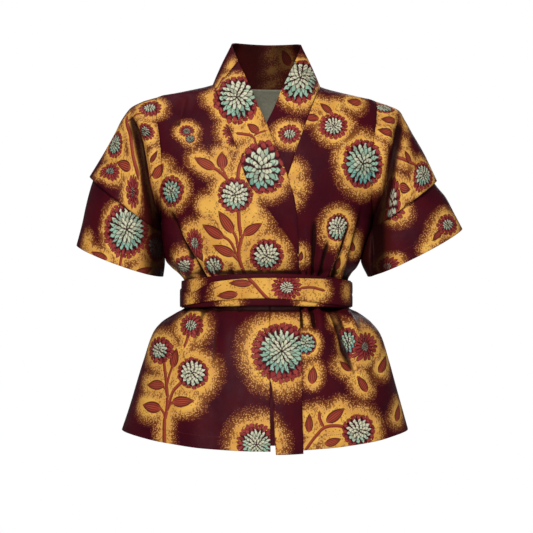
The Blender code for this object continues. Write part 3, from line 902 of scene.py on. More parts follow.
frontStems = table(
    "on width halo way",
    *on("front_right", (6.0, 13, ((-92, -134), (-80, -141), (-64, -157), (-58, -170))),
        (5.5, 13, ((-76, -133), (-72, -143), (-66, -154))),
        (6.5, 12, ((-38, -118), (-46, -134), (-49, -158))),
        (6.5, 16, ((-47, -208), (-46, -232), (-43, -254), (-47, -282), (-36, -318))),
        (5.0, 14, ((-57, -242), (-51, -254), (-48, -272))),
        (5.0, 14, ((-74, -251), (-61, -260), (-48, -286))),
        (5.0, 14, ((-39, -249), (-44, -258), (-45, -268))),
        (5.0, 14, ((-56, -283), (-46, -293), (-42, -303)))),
    *on("band_right", (4.5, 10, ((-50, -77), (-34, -79), (-22, -83), (-17, -98))),
        (3.5, 8, ((-20, -80), (-10, -75), (-2, -73)))),
    *on("front_left", (5.5, 13, ((67, -610), (82, -590), (98, -574), (120, -571), (140, -576))),
        (5.5, 12, ((97, -575), (90, -560), (89, -550)))),
    *on("sleeve_right_upper", (8.5, 9, ((-236, -52), (-232, -72), (-226, -112), (-217, -146))),
        (7.5, 7, ((-208, -92), (-203, -124), (-196, -160), (-189, -192))),
        (4.0, 9, ((-214, -44), (-230, -54), (-236, -60))),
        (4.0, 9, ((-196, -152), (-190, -146), (-188, -140)))),
    ("sleeve_left_upper", 5.0, 5, ((254, -132), (238, -124), (222, -118))),
    ("sleeve_right_lower", 5.0, 9, ((-244, -280), (-247, -296), (-250, -318))),
    *on("belt_over", (6.0, 12, ((-30, -322), (-20, -332), (-8, -346), (6, -360))),
        (5.0, 10, ((60, -338), (76, -337), (96, -342)))),
    *on("front_right", (7.5, 14, ((-173, -462), (-169, -497), (-167, -536), (-172, -564), (-172, -606))),
        (6.0, 14, ((-166, -540), (-158, -514), (-143, -497))),
        (5.0, 12, ((-159, -472), (-164, -486), (-167, -500))),
        (5.0, 12, ((-178, -502), (-171, -508), (-168, -520))),
        (5.0, 12, ((-180, -540), (-173, -550), (-171, -562))),
        (5.0, 12, ((-155, -531), (-162, -534), (-167, -544))),
        (5.0, 12, ((-132, -418), (-135, -428), (-138, -436)))),
)
# more of the gold ground where no motif is near: place and radius
frontGold = table(
    "on x z size",
    ("band_right", 12, -70, 12),
    *on("front_right", (-98, -200, 10), (-30, -214, 12), (-30, -330, 14), (-150, -315, 8)),
    *on("front_left", (58, -396, 3), (112, -396, 1), (152, -392, 4)),
    ("neck_band", -60, 38, 2),
    ("sleeve_left_upper", 232, -60, 5),
    ("band_right", -22, -48, 12),
    ("front_right", -88, -18, 8),
    *on("belt_over", (-62, -344, 20), (-20, -340, 22), (82, -340, 14), (136, -344, 2), (-128, -360, 3)),
    *on("belt_under", (-120, -334, 5), (70, -362, 8), (-60, -364, 8)),
    *on("sleeve_right_lower", (-262, -222, 2), (-302, -262, 5), (-206, -300, 4)),
    *on("sleeve_left_upper", (234, -96, 1), (196, -230, 2)),
    ("sleeve_left_lower", 272, -270, 2),
    *on("front_left", (46, -140, 7), (50, -164, 7), (44, -190, 4), (82, -26, 6), (118, -30, 4),
        (150, -30, 4)),
)
backBlooms = table(
    "on x z size inner petals tint halo tall",
    *on("back", (-68, -92, 84, 58, 15, 0.7, 20, 1), (66, -132, 62, 45, 13, 0.3, 20, 1),
        (8, -48, 36, 20, 10, 0.4, 12, 1), (-18, -212, 66, 48, 13, 0.4, 18, 1),
        (112, -238, 54, 40, 12, 0.8, 16, 1), (-132, -196, 48, 34, 12, 0.25, 16, 1),
        (-64, -296, 42, 26, 11, 0.5, 12, 1), (148, -72, 40, 22, 10, 0.5, 12, 1),
        (-146, -62, 34, 18, 9, 0.4, 10, 1), (44, -302, 36, 22, 10, 0.3, 14, 1),
        (-44, -462, 104, 73, 16, 0.62, 22, 1), (92, -440, 60, 43, 13, 0.2, 18, 1),
        (158, -536, 66, 48, 13, 0.7, 18, 1), (-158, -478, 56, 40, 12, 0.35, 16, 1),
        (36, -566, 52, 38, 12, 0.4, 18, 1), (-118, -574, 46, 30, 11, 0.75, 14, 1),
        (-206, -556, 40, 26, 10, 0.3, 12, 1), (196, -440, 40, 26, 10, 0.5, 12, 1)),
    *on("sleeve_right_upper", (-236, -104, 52, 36, 12, 0.5, 16, 1), (-204, -178, 34, 18, 9, 0.4, 12, 1)),
    ("sleeve_right_lower", -248, -252, 62, 44, 13, 0.8, 14, 1),
    *on("sleeve_left_upper", (228, -112, 56, 40, 12, 0.3, 16, 1), (200, -190, 32, 16, 9, 0.6, 12, 1)),
    ("sleeve_left_lower", 262, -236, 60, 42, 13, 0.6, 14, 1),
    *on("belt_over", (60, -348, 52, 22, 11, 0.3, 26, 1), (-84, -348, 52, 22, 11, 0.5, 26, 1),
        (0, -344, 30, 14, 9, 0.3, 18, 1)),
)
backLeaves = table(
    "on x z length width turn halo",
    *on("back", (-24, -134, 42, 18, 58, 14), (-42, -158, 40, 18, -54, 14), (20, -160, 36, 17, -20, 14),
        (34, -196, 42, 18, 62, 14), (76, -200, 38, 17, -60, 13), (-84, -246, 42, 18, -50, 13),
        (-44, -262, 36, 16, 30, 13), (-112, -132, 30, 14, -30, 10), (118, -172, 32, 15, 40, 11),
        (10, -400, 30, 14, 70, 12), (40, -486, 40, 18, 60, 13), (62, -510, 40, 19, -62, 13),
        (128, -478, 34, 16, 30, 12), (-110, -410, 32, 15, -40, 11), (-98, -530, 38, 18, -66, 13),
        (-142, -530, 36, 17, 64, 13), (110, -590, 32, 15, 76, 12), (-30, -572, 38, 17, -74, 12)),
    *on("sleeve_right_upper", (-256, -142, 28, 13, 40, 10), (-218, -138, 26, 12, -40, 10)),
    ("sleeve_right_lower", -284, -226, 28, 13, 50, 10),
    *on("sleeve_left_upper", (252, -150, 28, 13, -46, 10), (206, -146, 26, 12, 30, 10)),
    ("sleeve_left_lower", 298, -214, 28, 13, -40, 10),
    *on("belt_over", (112, -346, 30, 13, 80, 12), (-38, -350, 30, 13, -84, 12)),
    ("neck_band", 34, 58, 30, 16, -25, 3),
)
backStems = table(
    "on width halo way",
    *on("back", (6.0, 14, ((-62, -136), (-34, -150), (-10, -168), (-8, -184))),
        (6.5, 14, ((66, -164), (58, -186), (52, -220), (50, -262), (46, -286))),
        (6.0, 14, ((-22, -246), (-36, -276), (-50, -286))),
        (5.0, 12, ((-70, -254), (-56, -266), (-46, -276))),
        (5.0, 12, ((36, -208), (48, -222), (52, -232))),
        (6.5, 14, ((90, -470), (82, -498), (64, -528), (50, -546))),
        (5.0, 12, ((74, -516), (66, -522), (60, -530))),
        (6.5, 14, ((-156, -508), (-138, -540), (-124, -556))),
        (5.0, 12, ((12, -568), (-12, -574), (-24, -574))),
        (5.5, 12, ((112, -262), (108, -290), (100, -322)))),
    ("sleeve_right_upper", 5.0, 11, ((-236, -128), (-228, -152), (-212, -170))),
    ("sleeve_left_upper", 5.0, 11, ((226, -138), (216, -160), (206, -178))),
    ("belt_over", 5.0, 12, ((88, -348), (98, -350), (106, -346))),
)
backGold = table(
    "on x z size",
    *on("neck_band", (15, 66, 3), (9, 38, 1), (6, 10, 2)),
    *on("back", (40, -250, 16), (-30, -330, 16)),
    *on("belt_over", (20, -348, 24), (-40, -348, 22), (100, -348, 18)),
    ("belt_under", 60, -340, 24),
)
printValues = {
    "full": 0.08,
    "soft": (13.0, 0.96),
    "grain": 2.3,
    "reach": {"bloom": 1.12, "leaf": 1.35, "stem": 1.5},
    "stretch": 1.55,
    # the window for finding troughs in the cloth, which get painted shade
    "foldSpan": 4,
    "turn": (-26, -6),
    "overlap": 4,
    # painted shade: strength and reach on the sleeves' inner sides near the body, along the arm folds and
    # inside the collar, and how much of it the back keeps
    "armShade": 1.15,
    "armShadeX": (224, 182),
    "armShadeZ": (-150, -225),
    "foldShade": 1.8,
    "foldShadeZ": (-44, -90),
    "foldSides": (4, 8),
    "neckShade": 1.4,
    "neckInside": 20,
    "backShade": 0.6,
    "edgeOn": 0.03,
    "hiddenCost": 500,
    "leastStretch": 0.8,
    "flattest": 0.08,
    "seed": {"bloom": 0.37, "leaf": 0.61},
    "stemSteps": 6,
    "goldHalo": 12,
}


def seenFrom(points, face):
    # where each point shows from the front, through the camera, or straight from behind
    if face == "back":
        return points[..., 0], points[..., 2]
    far = cameraValues["distance"] / mm
    scale = far / (far + points[..., 1])
    middle = cameraValues["height"] / mm
    return points[..., 0] * scale, middle + (points[..., 2] - middle) * scale


def troughs(points, normal):
    # how far each point lies below the cloth around it, which sets the painted shade in troughs
    span = printValues["foldSpan"]
    soft = points
    for axis in (0, 1):
        room = [(0, 0)] * 3
        room[axis] = (span + 1, span)
        total = np.cumsum(np.pad(soft, room, mode="reflect", reflect_type="odd"), axis=axis)
        count = soft.shape[axis]
        ahead = total.take(range(2 * span + 1, 2 * span + 1 + count), axis=axis)
        soft = (ahead - total.take(range(count), axis=axis)) / (2 * span + 1)
    return ((soft - points) * normal).sum(axis=2)


def readyPiece(name):
    # what shows on each side, and how the cloth's own coordinates run there
    piece = pieces[name]
    points = piece["points"]
    alongRow, alongColumn = np.gradient(points, axis=1), np.gradient(points, axis=0)
    normal = np.cross(alongRow, alongColumn)
    middle = points.mean(axis=1, keepdims=True) if "sleeve" in name else points * np.array([0, 0, 1])
    if (normal * (points - middle)).sum() < 0:
        normal = -normal
    normal = normal / np.maximum(np.linalg.norm(normal, axis=2, keepdims=True), 1e-9)
    piece["views"] = {}
    for face in ("front", "back"):
        x, z = seenFrom(points, face)
        out = -normal[..., 1] if face == "front" else normal[..., 1]
        piece["views"][face] = x, z, out < printValues["edgeOn"]
    piece["trough"] = troughs(points, normal)


def anchor(name, x, z, face):
    # the cloth's own place and turning at a place in the view
    piece = pieces[name]
    viewX, viewZ, hidden = piece["views"][face]
    away = np.hypot(viewX - x, viewZ - z) + hidden * printValues["hiddenCost"]
    spot = np.unravel_index(np.argmin(away), away.shape)
    around = tuple(slice(max(0, k - 1), k + 2) for k in spot)
    steps = []
    for grid in (viewX, viewZ, piece["across"], piece["down"]):
        patch = grid[around]
        downStep = (patch[-1] - patch[0]).mean() / max(1, patch.shape[0] - 1)
        acrossStep = (patch[:, -1] - patch[:, 0]).mean() / max(1, patch.shape[1] - 1)
        steps.append((downStep, acrossStep))
    view, cloth = np.array(steps[:2]), np.array(steps[2:])
    left, stretch, right = np.linalg.svd(cloth @ np.linalg.pinv(view, rcond=printValues["flattest"]))
    held = np.clip(stretch, printValues["leastStretch"], printValues["stretch"])
    look = right.T @ np.diag(1 / held) @ left.T
    place = np.array([piece["across"][spot], piece["down"][spot]])
    rest = np.array([x - viewX[spot], z - viewZ[spot]])
    return place + left @ np.diag(held) @ right @ rest, look


def spreadMotifs(name, face, blooms, leaves, stems, gold):
    # fill each cloth corner with its place in the nearest bloom, leaf and stem
    piece = pieces[name]
    corners, points = piece["cornerPlace"], piece["pointPlace"]
    layers = piece["layers"]

    def field(distance, halo):
        full = halo * printValues["full"]
        soft = printValues["soft"][0] + printValues["soft"][1] * halo
        shown = 1 - np.clip((distance - full) / soft, 0, 1)
        layers["gold"] = np.maximum(layers["gold"], shown * piece["sides"][face])

    def claim(kind, place, shape, near, limit):
        near = near.reshape(-1, 4).min(axis=1)
        near = np.where((near < limit) & piece["faceSides"][face], near, 9)
        better = near < layers[kind + "Near"]
        layers[kind + "Near"][better] = near[better]
        pick = np.repeat(better, 4)
        layers[kind + "Place"][pick] = place[pick]
        layers[kind + "Shape"][pick] = shape

    def local(cloth, middle, look, angle=0.0):
        seen = (cloth - middle) @ look.T
        up = np.array([math.sin(angle), math.cos(angle)])
        return seen @ np.array([-up[1], up[0]]), seen @ up

    def beside(cloth, line):
        # how far each place lies to one side of the nearest stretch of a line
        best = np.full(len(cloth), 1e9)
        for start, end in zip(line, line[1:]):
            length = max(np.hypot(*(end - start)), 1e-6)
            along = (end - start) / length
            t, off = (cloth - start) @ along, (cloth - start) @ np.array([-along[1], along[0]])
            away = np.where(off < 0, -1, 1) * np.hypot(off, t - np.clip(t, 0, length))
            best = np.where(np.abs(away) < np.abs(best), away, best)
        return best

    for spot, (x, z, size, inner, petals, tint, halo, tall) in rowsFor(blooms, name):
        middle, look = anchor(name, x, z, face)
        look = np.diag([1, 1 / tall]) @ look
        side, up = local(corners, middle, look)
        place = np.stack([side, up, 0 * up + printValues["seed"]["bloom"] * spot % 1], axis=1)
        near = np.hypot(side, up) / (size / 2)
        claim("bloom", place, (size / 2, inner / 2, petals + tint), near, printValues["reach"]["bloom"])
        field(np.hypot(*local(points, middle, look)) - size / 2, halo)
    for spot, (x, z, length, width, angle, halo) in rowsFor(leaves, name):
        angle = math.radians(angle)
        middle, look = anchor(name, x, z, face)
        side, up = local(corners, middle, look, angle)
        place = np.stack([side, up, 0 * up + printValues["seed"]["leaf"] * spot % 1], axis=1)
        near = np.hypot(side * 2 / width, up * 2 / length)
        claim("leaf", place, (width / 2, length / 2, 0), near, printValues["reach"]["leaf"])
        side, up = local(points, middle, look, angle)
        reach = np.clip(np.abs(up) - length / 2 + width / 2, 0, None)
        field(np.hypot(side, reach) - width / 2, halo)
    for _, (width, halo, way) in rowsFor(stems, name):
        line = threadThrough([anchor(name, x, z, face)[0] for x, z in way], printValues["stemSteps"])
        side = beside(corners, line)
        place = np.stack([side, 0 * side, 0 * side], axis=1)
        near = np.abs(side) / (width / 2)
        claim("stem", place, (width / 2, 0, 0), near, printValues["reach"]["stem"])
        field(np.abs(beside(points, line)) - width / 2, halo)
    for _, (x, z, size) in rowsFor(gold, name):
        middle = anchor(name, x, z, face)[0]
        field(np.hypot(*(points - middle).T) - size, printValues["goldHalo"])


def printPiece(name):
    piece = pieces[name]
    mesh = piece["object"].data
    readyPiece(name)
    at = piece["row"], piece["column"]
    piece["pointPlace"] = np.stack([piece["across"], piece["down"]], axis=2)[at]
    piece["cornerPlace"] = piece["pointPlace"][piece["corners"]]
    y = piece["points"][at][:, 1]
    faceY = y[piece["corners"]].reshape(-1, 4).mean(axis=1)
    # a body piece is printed from its own side, the others from both
    only = "back" if name == "back" else "front" if name.startswith(("front", "band")) else ""
    piece["sides"], piece["faceSides"] = {}, {}
    for face, way in (("front", -1), ("back", 1)):
        shown = (only == face) + 0 * y if only else fade(way * y, *printValues["turn"])
        piece["sides"][face] = shown
        near = way * faceY > -printValues["overlap"]
        piece["faceSides"][face] = np.full(len(faceY), only == face) if only else near
    count = len(piece["corners"])
    layers = {"gold": np.zeros(len(y))}
    for kind in ("bloom", "leaf", "stem"):
        layers[kind + "Near"] = np.full(count // 4, 8.0)
        layers[kind + "Place"] = np.full((count, 3), 500.0)
        layers[kind + "Shape"] = np.tile([10.0, 8.0, 12.0], (count, 1))
    piece["layers"] = layers
    spreadMotifs(name, "front", frontBlooms, frontLeaves, frontStems, frontGold)
    spreadMotifs(name, "back", backBlooms, backLeaves, backStems, backGold)
    for kind in ("bloom", "leaf", "stem"):
        for part in ("Place", "Shape"):
            store = mesh.attributes.new(kind + part, "FLOAT_VECTOR", "CORNER")
            store.data.foreach_set("vector", layers[kind + part].ravel())
    # painted shade: how dark the colour is made, starting from how far each point lies below the cloth around
    # it
    deep = piece["trough"][at]
    if "sleeve" in name:
        own = "right" if "right" in name else "left"
        x, z = piece["points"][at][:, 0] * (-1 if own == "right" else 1), piece["points"][at][:, 2]
        # painted shade on the sleeve's inner side, where it lies close to the body below the arm
        low = fade(x, *printValues["armShadeX"]) * fade(z, *printValues["armShadeZ"])
        deep = np.maximum(deep, 0) + printValues["armShade"] * low
        # painted shade along the fold where the sleeve turns under the body in front
        folded = np.interp(-z, [-height for height in armFold["height"]], armFold[own])
        away = x - folded - printValues["foldSides"][0]
        away = away / np.where(away < 0, *printValues["foldSides"])
        below = fade(z, *printValues["foldShadeZ"]) * (y < 0)
        deep = deep + printValues["foldShade"] * np.exp(-away * away) * below
    # the painted shade is weaker on the back
    if name == "back":
        deep = deep * printValues["backShade"]
    # painted shade inside the collar, behind the neck
    if name == "neck_band":
        deep = deep + printValues["neckShade"] * (y > printValues["neckInside"])
    # the second attribute carries the painted shade
    for label, values in (("goldField", layers["gold"]), ("foldDepth", deep)):
        store = mesh.attributes.new(label, "FLOAT", "POINT")
        store.data.foreach_set("value", values)


def ink(red, green, blue):
    # a colour as a screen shows it, 0 to 255
    parts = [value / 255 for value in (red, green, blue)]
    return tuple(p / 12.92 if p <= 0.04045 else ((p + 0.055) / 1.055) ** 2.4 for p in parts) + (1,)


inks = {
    "burgundy": ink(76, 14, 24),
    "wine": ink(62, 12, 24),
    "gold": ink(246, 188, 88),
    "honey": ink(226, 162, 74),
    "ochre": ink(184, 118, 44),
    "umber": ink(110, 50, 26),
    "apricot": ink(236, 176, 100),
    "brick": ink(136, 46, 46),
    "rose": ink(170, 70, 64),
    "garnet": ink(82, 18, 26),
    "rust": ink(164, 74, 52),
    "outline": ink(58, 14, 20),
    "cream": ink(226, 222, 190),
    "mint": ink(160, 196, 170),
    "shaded": ink(74, 104, 88),
    "teal": ink(104, 172, 166),
    # painted light: the facing's olive tones are lighter than its own colour, to stand in for the light it
    # misses under the collar
    "olive": ink(128, 126, 108),
    "oliveLight": ink(142, 140, 120),
    "petalRoot": ink(112, 32, 38),
    "paleRoot": ink(140, 146, 122),
    "leafDeep": ink(134, 44, 44),
    "leafLight": ink(192, 84, 60),
    "stemDeep": ink(138, 48, 42),
    "clay": ink(178, 98, 68),
    "stitch": ink(92, 30, 34),
    # the two colours of the painted shade in folds, by the sleeves and inside the collar
    "foldWarm": ink(82, 26, 18),
    "foldDark": ink(24, 8, 10),
}


class Value:
    # a number on its way through a node tree, so that sums can be written as sums
    def __init__(self, wire, socket):
        self.wire, self.socket = wire, socket

    def __add__(self, other):
        return self.wire.calc("ADD", self, other)

    def __sub__(self, other):
        return self.wire.calc("SUBTRACT", self, other)

    def __rsub__(self, other):
        return self.wire.calc("SUBTRACT", other, self)

    def __mul__(self, other):
        return self.wire.calc("MULTIPLY", self, other)

    def __truediv__(self, other):
        return self.wire.calc("DIVIDE", self, other)

    def __rtruediv__(self, other):
        return self.wire.calc("DIVIDE", other, self)

    def __abs__(self):
        return self.wire.calc("ABSOLUTE", self)

    def ramp(self, low, high, bottom=0, top=1):
        labels = ("Value", "From Min", "From Max", "To Min", "To Max")
        node = self.wire.add("ShaderNodeMapRange", interpolation_type="SMOOTHSTEP")
        for label, number in zip(labels, (self, low, high, bottom, top)):
            self.wire.put(node.inputs[label], number)
        return Value(self.wire, node.outputs["Result"])


class Wiring:
    # short words for building a node tree, one node after another
    def __init__(self, tree):
        self.tree = tree
        self.count = 0

    def add(self, kind, **settings):
        node = self.tree.nodes.new(kind)
        node.location = (220 * (self.count // 8) - 600, -180 * (self.count % 8) + 500)
        self.count += 1
        for key, value in settings.items():
            setattr(node, key, value)
        return node

    def put(self, socket, value):
        if isinstance(value, Value):
            value = value.socket
        if isinstance(value, bpy.types.NodeSocket):
            self.tree.links.new(value, socket)
        else:
            socket.default_value = value

    def outputs(self, node):
        return {socket.name: Value(self, socket) for socket in node.outputs}

    def calc(self, operation, *values, clamp=False):
        node = self.add("ShaderNodeMath", operation=operation, use_clamp=clamp)
        for socket, value in zip(node.inputs, values):
            self.put(socket, value)
        return Value(self, node.outputs[0])

    def mix(self, share, first, second):
        node = self.add("ShaderNodeMix", data_type="RGBA")
        for socket, value in zip((node.inputs[0], node.inputs[6], node.inputs[7]), (share, first, second)):
            self.put(socket, value)
        return node.outputs[2]

    def split(self, vector):
        node = self.add("ShaderNodeSeparateXYZ")
        self.put(node.inputs[0], vector)
        return [Value(self, socket) for socket in node.outputs]

    def join(self, x, y, z=0):
        node = self.add("ShaderNodeCombineXYZ")
        for socket, value in zip(node.inputs, (x, y, z)):
            self.put(socket, value)
        return node.outputs[0]

    def attribute(self, name, output="Vector"):
        return Value(self, self.add("ShaderNodeAttribute", attribute_name=name).outputs[output])

    def cloth(self, name="cloth"):
        return self.add("ShaderNodeUVMap", uv_map=name).outputs[0]

    def noise(self, vector, scale, detail=2, rough=0.5):
        node = self.add("ShaderNodeTexNoise")
        for label, value in zip(("Vector", "Scale", "Detail", "Roughness"), (vector, scale, detail, rough)):
            self.put(node.inputs[label], value)
        return Value(self, node.outputs["Fac"])

    def group(self, tree, **values):
        node = self.add("ShaderNodeGroup", node_tree=tree)
        for label, value in values.items():
            self.put(node.inputs[label], value)
        return self.outputs(node)

    def close(self, **values):
        # what a group gives: numbers come as Value, colours as plain sockets
        for label, value in values.items():
            kind = "NodeSocketFloat" if isinstance(value, Value) else "NodeSocketColor"
            self.tree.interface.new_socket(label, in_out="OUTPUT", socket_type=kind)
        ends = self.add("NodeGroupOutput").inputs
        for label, value in values.items():
            self.put(ends[label], value)
        return self.tree


def newGroup(name, **inputs):
    # a shared effect, with a number or a colour for each thing that it is given
    tree = bpy.data.node_groups.new(name, "ShaderNodeTree")
    for label, value in inputs.items():
        kind = "NodeSocketColor" if isinstance(value, tuple) else "NodeSocketFloat"
        tree.interface.new_socket(label, in_out="INPUT", socket_type=kind).default_value = value
    wire = Wiring(tree)
    return wire, wire.outputs(wire.add("NodeGroupInput"))


def petalRingGroup():
    # one ring of pointed petals: a mask, its dark outline, and how far out along the petal
    sizes = {"Radius": 0, "Angle": 0, "Count": 12, "Centre": 10, "Length": 4, "Width": 3}
    wire, given = newGroup("petalRing", **sizes, Turn=0, Point=1, Skew=0.3, Edge=1)
    half = math.pi / given["Count"]
    turned = given["Angle"] + half * given["Turn"]
    angle = wire.calc("WRAP", turned, half, half * -1)
    order = wire.calc("ROUND", (turned - angle) / (half + half))
    order = wire.calc("FLOORED_MODULO", order, given["Count"])
    random = wire.add("ShaderNodeTexWhiteNoise", noise_dimensions="2D")
    wire.put(random.inputs["Vector"], wire.join(order, given["Centre"]))
    pick = wire.outputs(random)["Value"]
    x = given["Radius"] * wire.calc("COSINE", angle) - given["Centre"]
    y = abs(given["Radius"] * wire.calc("SINE", angle))
    t = x / (given["Length"] * (pick * 0.36 + 0.8))
    arch = wire.calc("POWER", wire.calc("SUBTRACT", 1, t * t, clamp=True), given["Point"])
    inside = given["Width"] * (arch * (t * given["Skew"] + 1)) - y
    line = wire.calc("MAXIMUM", given["Width"] * 0.2, 0.5)
    petal = inside.ramp(0, line * 0.5)
    line = line * given["Edge"]
    core = inside.ramp(line * 0.5, line * 1.3)
    return wire.close(Petal=petal, Line=1 - core, Along=t, Pick=pick)


def bloomGroup(petalRing):
    # a round flower: two rings of red petals, then mint and cream ones, each dark outlined
    wire, given = newGroup("bloomPrint", Ground=inks["gold"])
    side, up, seed = wire.split(wire.attribute("bloomPlace"))
    outer, inner, code = wire.split(wire.attribute("bloomShape"))
    petals, tint = wire.calc("FLOOR", code), wire.calc("FRACT", code)
    wobble = wire.noise(wire.join(side, up, seed * 40), 0.11)
    radius = wire.calc("SQRT", side * side + up * up) * wobble.ramp(0.2, 0.8, 0.94, 1.06)
    bent = wire.noise(wire.join(up, side, seed * 60), 0.16)
    angle = wire.calc("ARCTAN2", side, up) + (bent * 0.3 + seed * 2)
    band = outer - inner
    blue = up / outer * -0.5 + tint + (wobble * 0.9 - 0.45)
    mint = wire.mix(blue.ramp(0.15, 0.65), inks["cream"], inks["mint"])
    mint = wire.mix(blue.ramp(0.7, 1.25), mint, inks["teal"])
    pale = wire.mix(blue.ramp(0.35, 1.3), inks["cream"], inks["mint"])
    disc = (band * 0.45 + inner - radius).ramp(0, 0.8)
    colour = wire.mix(disc, given["Ground"], inks["outline"])
    # each ring: where it starts and the width it lies in, its middle and half length as shares of
    # that, petals for each of the named count, turn, petal width, point, skew and tone
    rings = (
        (inner, band, 0.62, 0.42, 1.75, 0.0, 1.0, 0.75, 0.2, "brick"),
        (inner, band, 0.2, 0.46, 1.6, 1.0, 1.0, 0.75, 0.2, "brick"),
        (0, inner, 0.8, 0.29, 1.4, 0.0, 0.92, 1.15, 0.1, "mint"),
        (0, inner, 0.62, 0.25, 1.15, 1.0, 0.96, 1.0, 0.1, "mint"),
        (0, inner, 0.44, 0.22, 0.85, 0.4, 0.94, 1.0, 0.1, "pale"),
        (0, inner, 0.28, 0.18, 0.6, 1.3, 0.9, 1.0, 0.1, "pale"),
        (0, inner, 0.14, 0.12, 0.36, 0.6, 0.8, 1.0, 0.1, "pale"),
    )
    for start, span, middle, half, share, turn, room, point, skew, tone in rings:
        red = tone == "brick"
        count = wire.calc("ROUND", petals * share)
        centre = wire.calc("MULTIPLY_ADD", span, middle, start)
        width = centre / count * (math.pi * room)
        place = {"Radius": radius, "Angle": angle, "Count": count, "Centre": centre, "Length": span * half}
        form = {"Width": width, "Turn": turn, "Point": point, "Skew": skew, "Edge": 1.7 if red else 1.65}
        ring = wire.group(petalRing, **place, **form)
        if red:
            root, fill = inks["petalRoot"], wire.mix(ring["Pick"], inks["brick"], inks["rose"])
        else:
            dim = ring["Pick"].ramp(0.7, 1, 0, 0.6)
            root, fill = inks["paleRoot"], wire.mix(dim, mint if tone == "mint" else pale, inks["shaded"])
        fill = wire.mix(ring["Along"].ramp(-1, 0.2), root, fill)
        fill = wire.mix(ring["Line"], fill, inks["garnet" if red else "outline"])
        colour = wire.mix(ring["Petal"], colour, fill)
    dot = radius.ramp(inner * 0.07, inner * 0.04)
    return wire.close(Color=wire.mix(dot, colour, inks["outline"]))


def leafGroup():
    # a pointed leaf with long veins that meet at both its ends
    wire, given = newGroup("leafPrint", Ground=inks["gold"])
    side, up, seed = wire.split(wire.attribute("leafPlace"))
    width, length = wire.split(wire.attribute("leafShape"))[:2]
    t = up / length
    tip = wire.calc("POWER", wire.calc("MAXIMUM", 1 - t, 0), 1.02)
    base = wire.calc("POWER", wire.calc("MAXIMUM", t + 1, 0), 0.66)
    room = width * 0.94 * (tip * base)
    inside = room - abs(side)
    share = abs(side) / wire.calc("MAXIMUM", room, 0.2)
    vein = (wire.calc("PINGPONG", share, 0.19) * room).ramp(0.9, 0.3) * abs(t).ramp(0.92, 0.6)
    fill = wire.mix(seed.ramp(0, 1, 0, 0.55), inks["rust"], inks["leafDeep"])
    fill = wire.mix(share.ramp(0.75, 0.15, 0, 0.6), fill, inks["leafLight"])
    fill = wire.mix(vein * 0.75, fill, inks["outline"])
    fill = wire.mix(inside.ramp(1.5, 0.6), fill, inks["outline"])
    return wire.close(Color=wire.mix(inside.ramp(0, 0.5), given["Ground"], fill))


def stemGroup():
    wire, given = newGroup("stemPrint", Ground=inks["gold"])
    side = wire.split(wire.attribute("stemPlace"))[0]
    inside = wire.split(wire.attribute("stemShape"))[0] - abs(side)
    fill = wire.mix(side.ramp(-1, 1.6), inks["rust"], inks["stemDeep"])
    fill = wire.mix(inside.ramp(1, 0.3), fill, inks["outline"])
    return wire.close(Color=wire.mix(inside.ramp(0, 0.5), given["Ground"], fill))


def groundGroup():
    # gold round the motifs, fading to burgundy under fine light and dark dots
    wire, given = newGroup("stippledGround", Grain=1.9)
    place = wire.cloth()
    field = wire.attribute("goldField", "Fac")
    field = field + (wire.noise(place, 30) * 0.6 - 0.3) * field.ramp(0.02, 0.3)
    cells = wire.add("ShaderNodeTexVoronoi", voronoi_dimensions="2D", feature="F1")
    wire.put(cells.inputs["Vector"], place)
    wire.put(cells.inputs["Scale"], 1000 / given["Grain"])
    first, second = wire.split(cells.outputs["Color"])[:2]
    away = wire.outputs(cells)["Distance"]
    light = (field.ramp(0, 0.9, 0.24, 0.5) - away).ramp(-0.08, 0.1)
    light = light * wire.calc("LESS_THAN", first, field * 1.4 + 0.1)
    light = light * (field.ramp(0.02, 0.15) * field.ramp(1, 0.8))
    clear = wire.noise(place, 40).ramp(0.42, 0.66) * -0.4 + (field * 0.62 + 0.32)
    dark = wire.calc("GREATER_THAN", second, clear) * away.ramp(0.62, 0.38)
    dark = dark * field.ramp(0.2, 0.5, 0, field.ramp(1, 0.7, 0.6, 0.85))
    gold = wire.mix(wire.noise(place, 22).ramp(0.35, 0.65), inks["gold"], inks["honey"])
    base = wire.mix(wire.noise(place, 18).ramp(0.3, 0.7), inks["burgundy"], inks["wine"])
    base = wire.mix(field.ramp(0.06, 0.5), base, inks["umber"])
    base = wire.mix(field.ramp(0.45, 0.85), base, inks["ochre"])
    base = wire.mix(field.ramp(0.68, 0.98), base, gold)
    spot = wire.mix(field.ramp(0.1, 0.6), inks["clay"], inks["apricot"])
    base = wire.mix(light * 0.85, base, spot)
    return wire.close(Color=wire.mix(dark, base, inks["umber"]))


def weaveGroup():
    # fine crossing threads, slow crumples of worn cotton, and the turned hem with its stitches
    wire, given = newGroup("sewnWeave", Pitch=0.8, Crumple=1, Inset=20, Stitch=3.4)
    place = wire.cloth()
    x, y = wire.split(place)[:2]
    turns = 2000 * math.pi / given["Pitch"]
    threads = wire.calc("SINE", x * turns) * wire.calc("SINE", y * turns)
    slow, fine = wire.noise(place, 26, rough=0.45), wire.noise(place, 88)
    along, edge = wire.split(wire.cloth("hem"))[:2]
    inset = given["Inset"] / 1000
    off = abs(edge - inset)
    dash = wire.calc("FRACT", along / (given["Stitch"] / 1000))
    thread = off.ramp(0.0007, 0.0003) * dash.ramp(0.72, 0.66)
    turned = (inset - edge).ramp(-0.0008, 0.0008)
    pucker = off.ramp(0.003, 0) * wire.calc("SINE", along * 900)
    height = threads * 0.03 + slow * given["Crumple"] * 2.2 + fine * given["Crumple"] * 0.35
    height = height + turned * 0.25 + pucker * 0.08 + thread * 0.12
    return wire.close(Height=height, Thread=thread, Wear=fine)


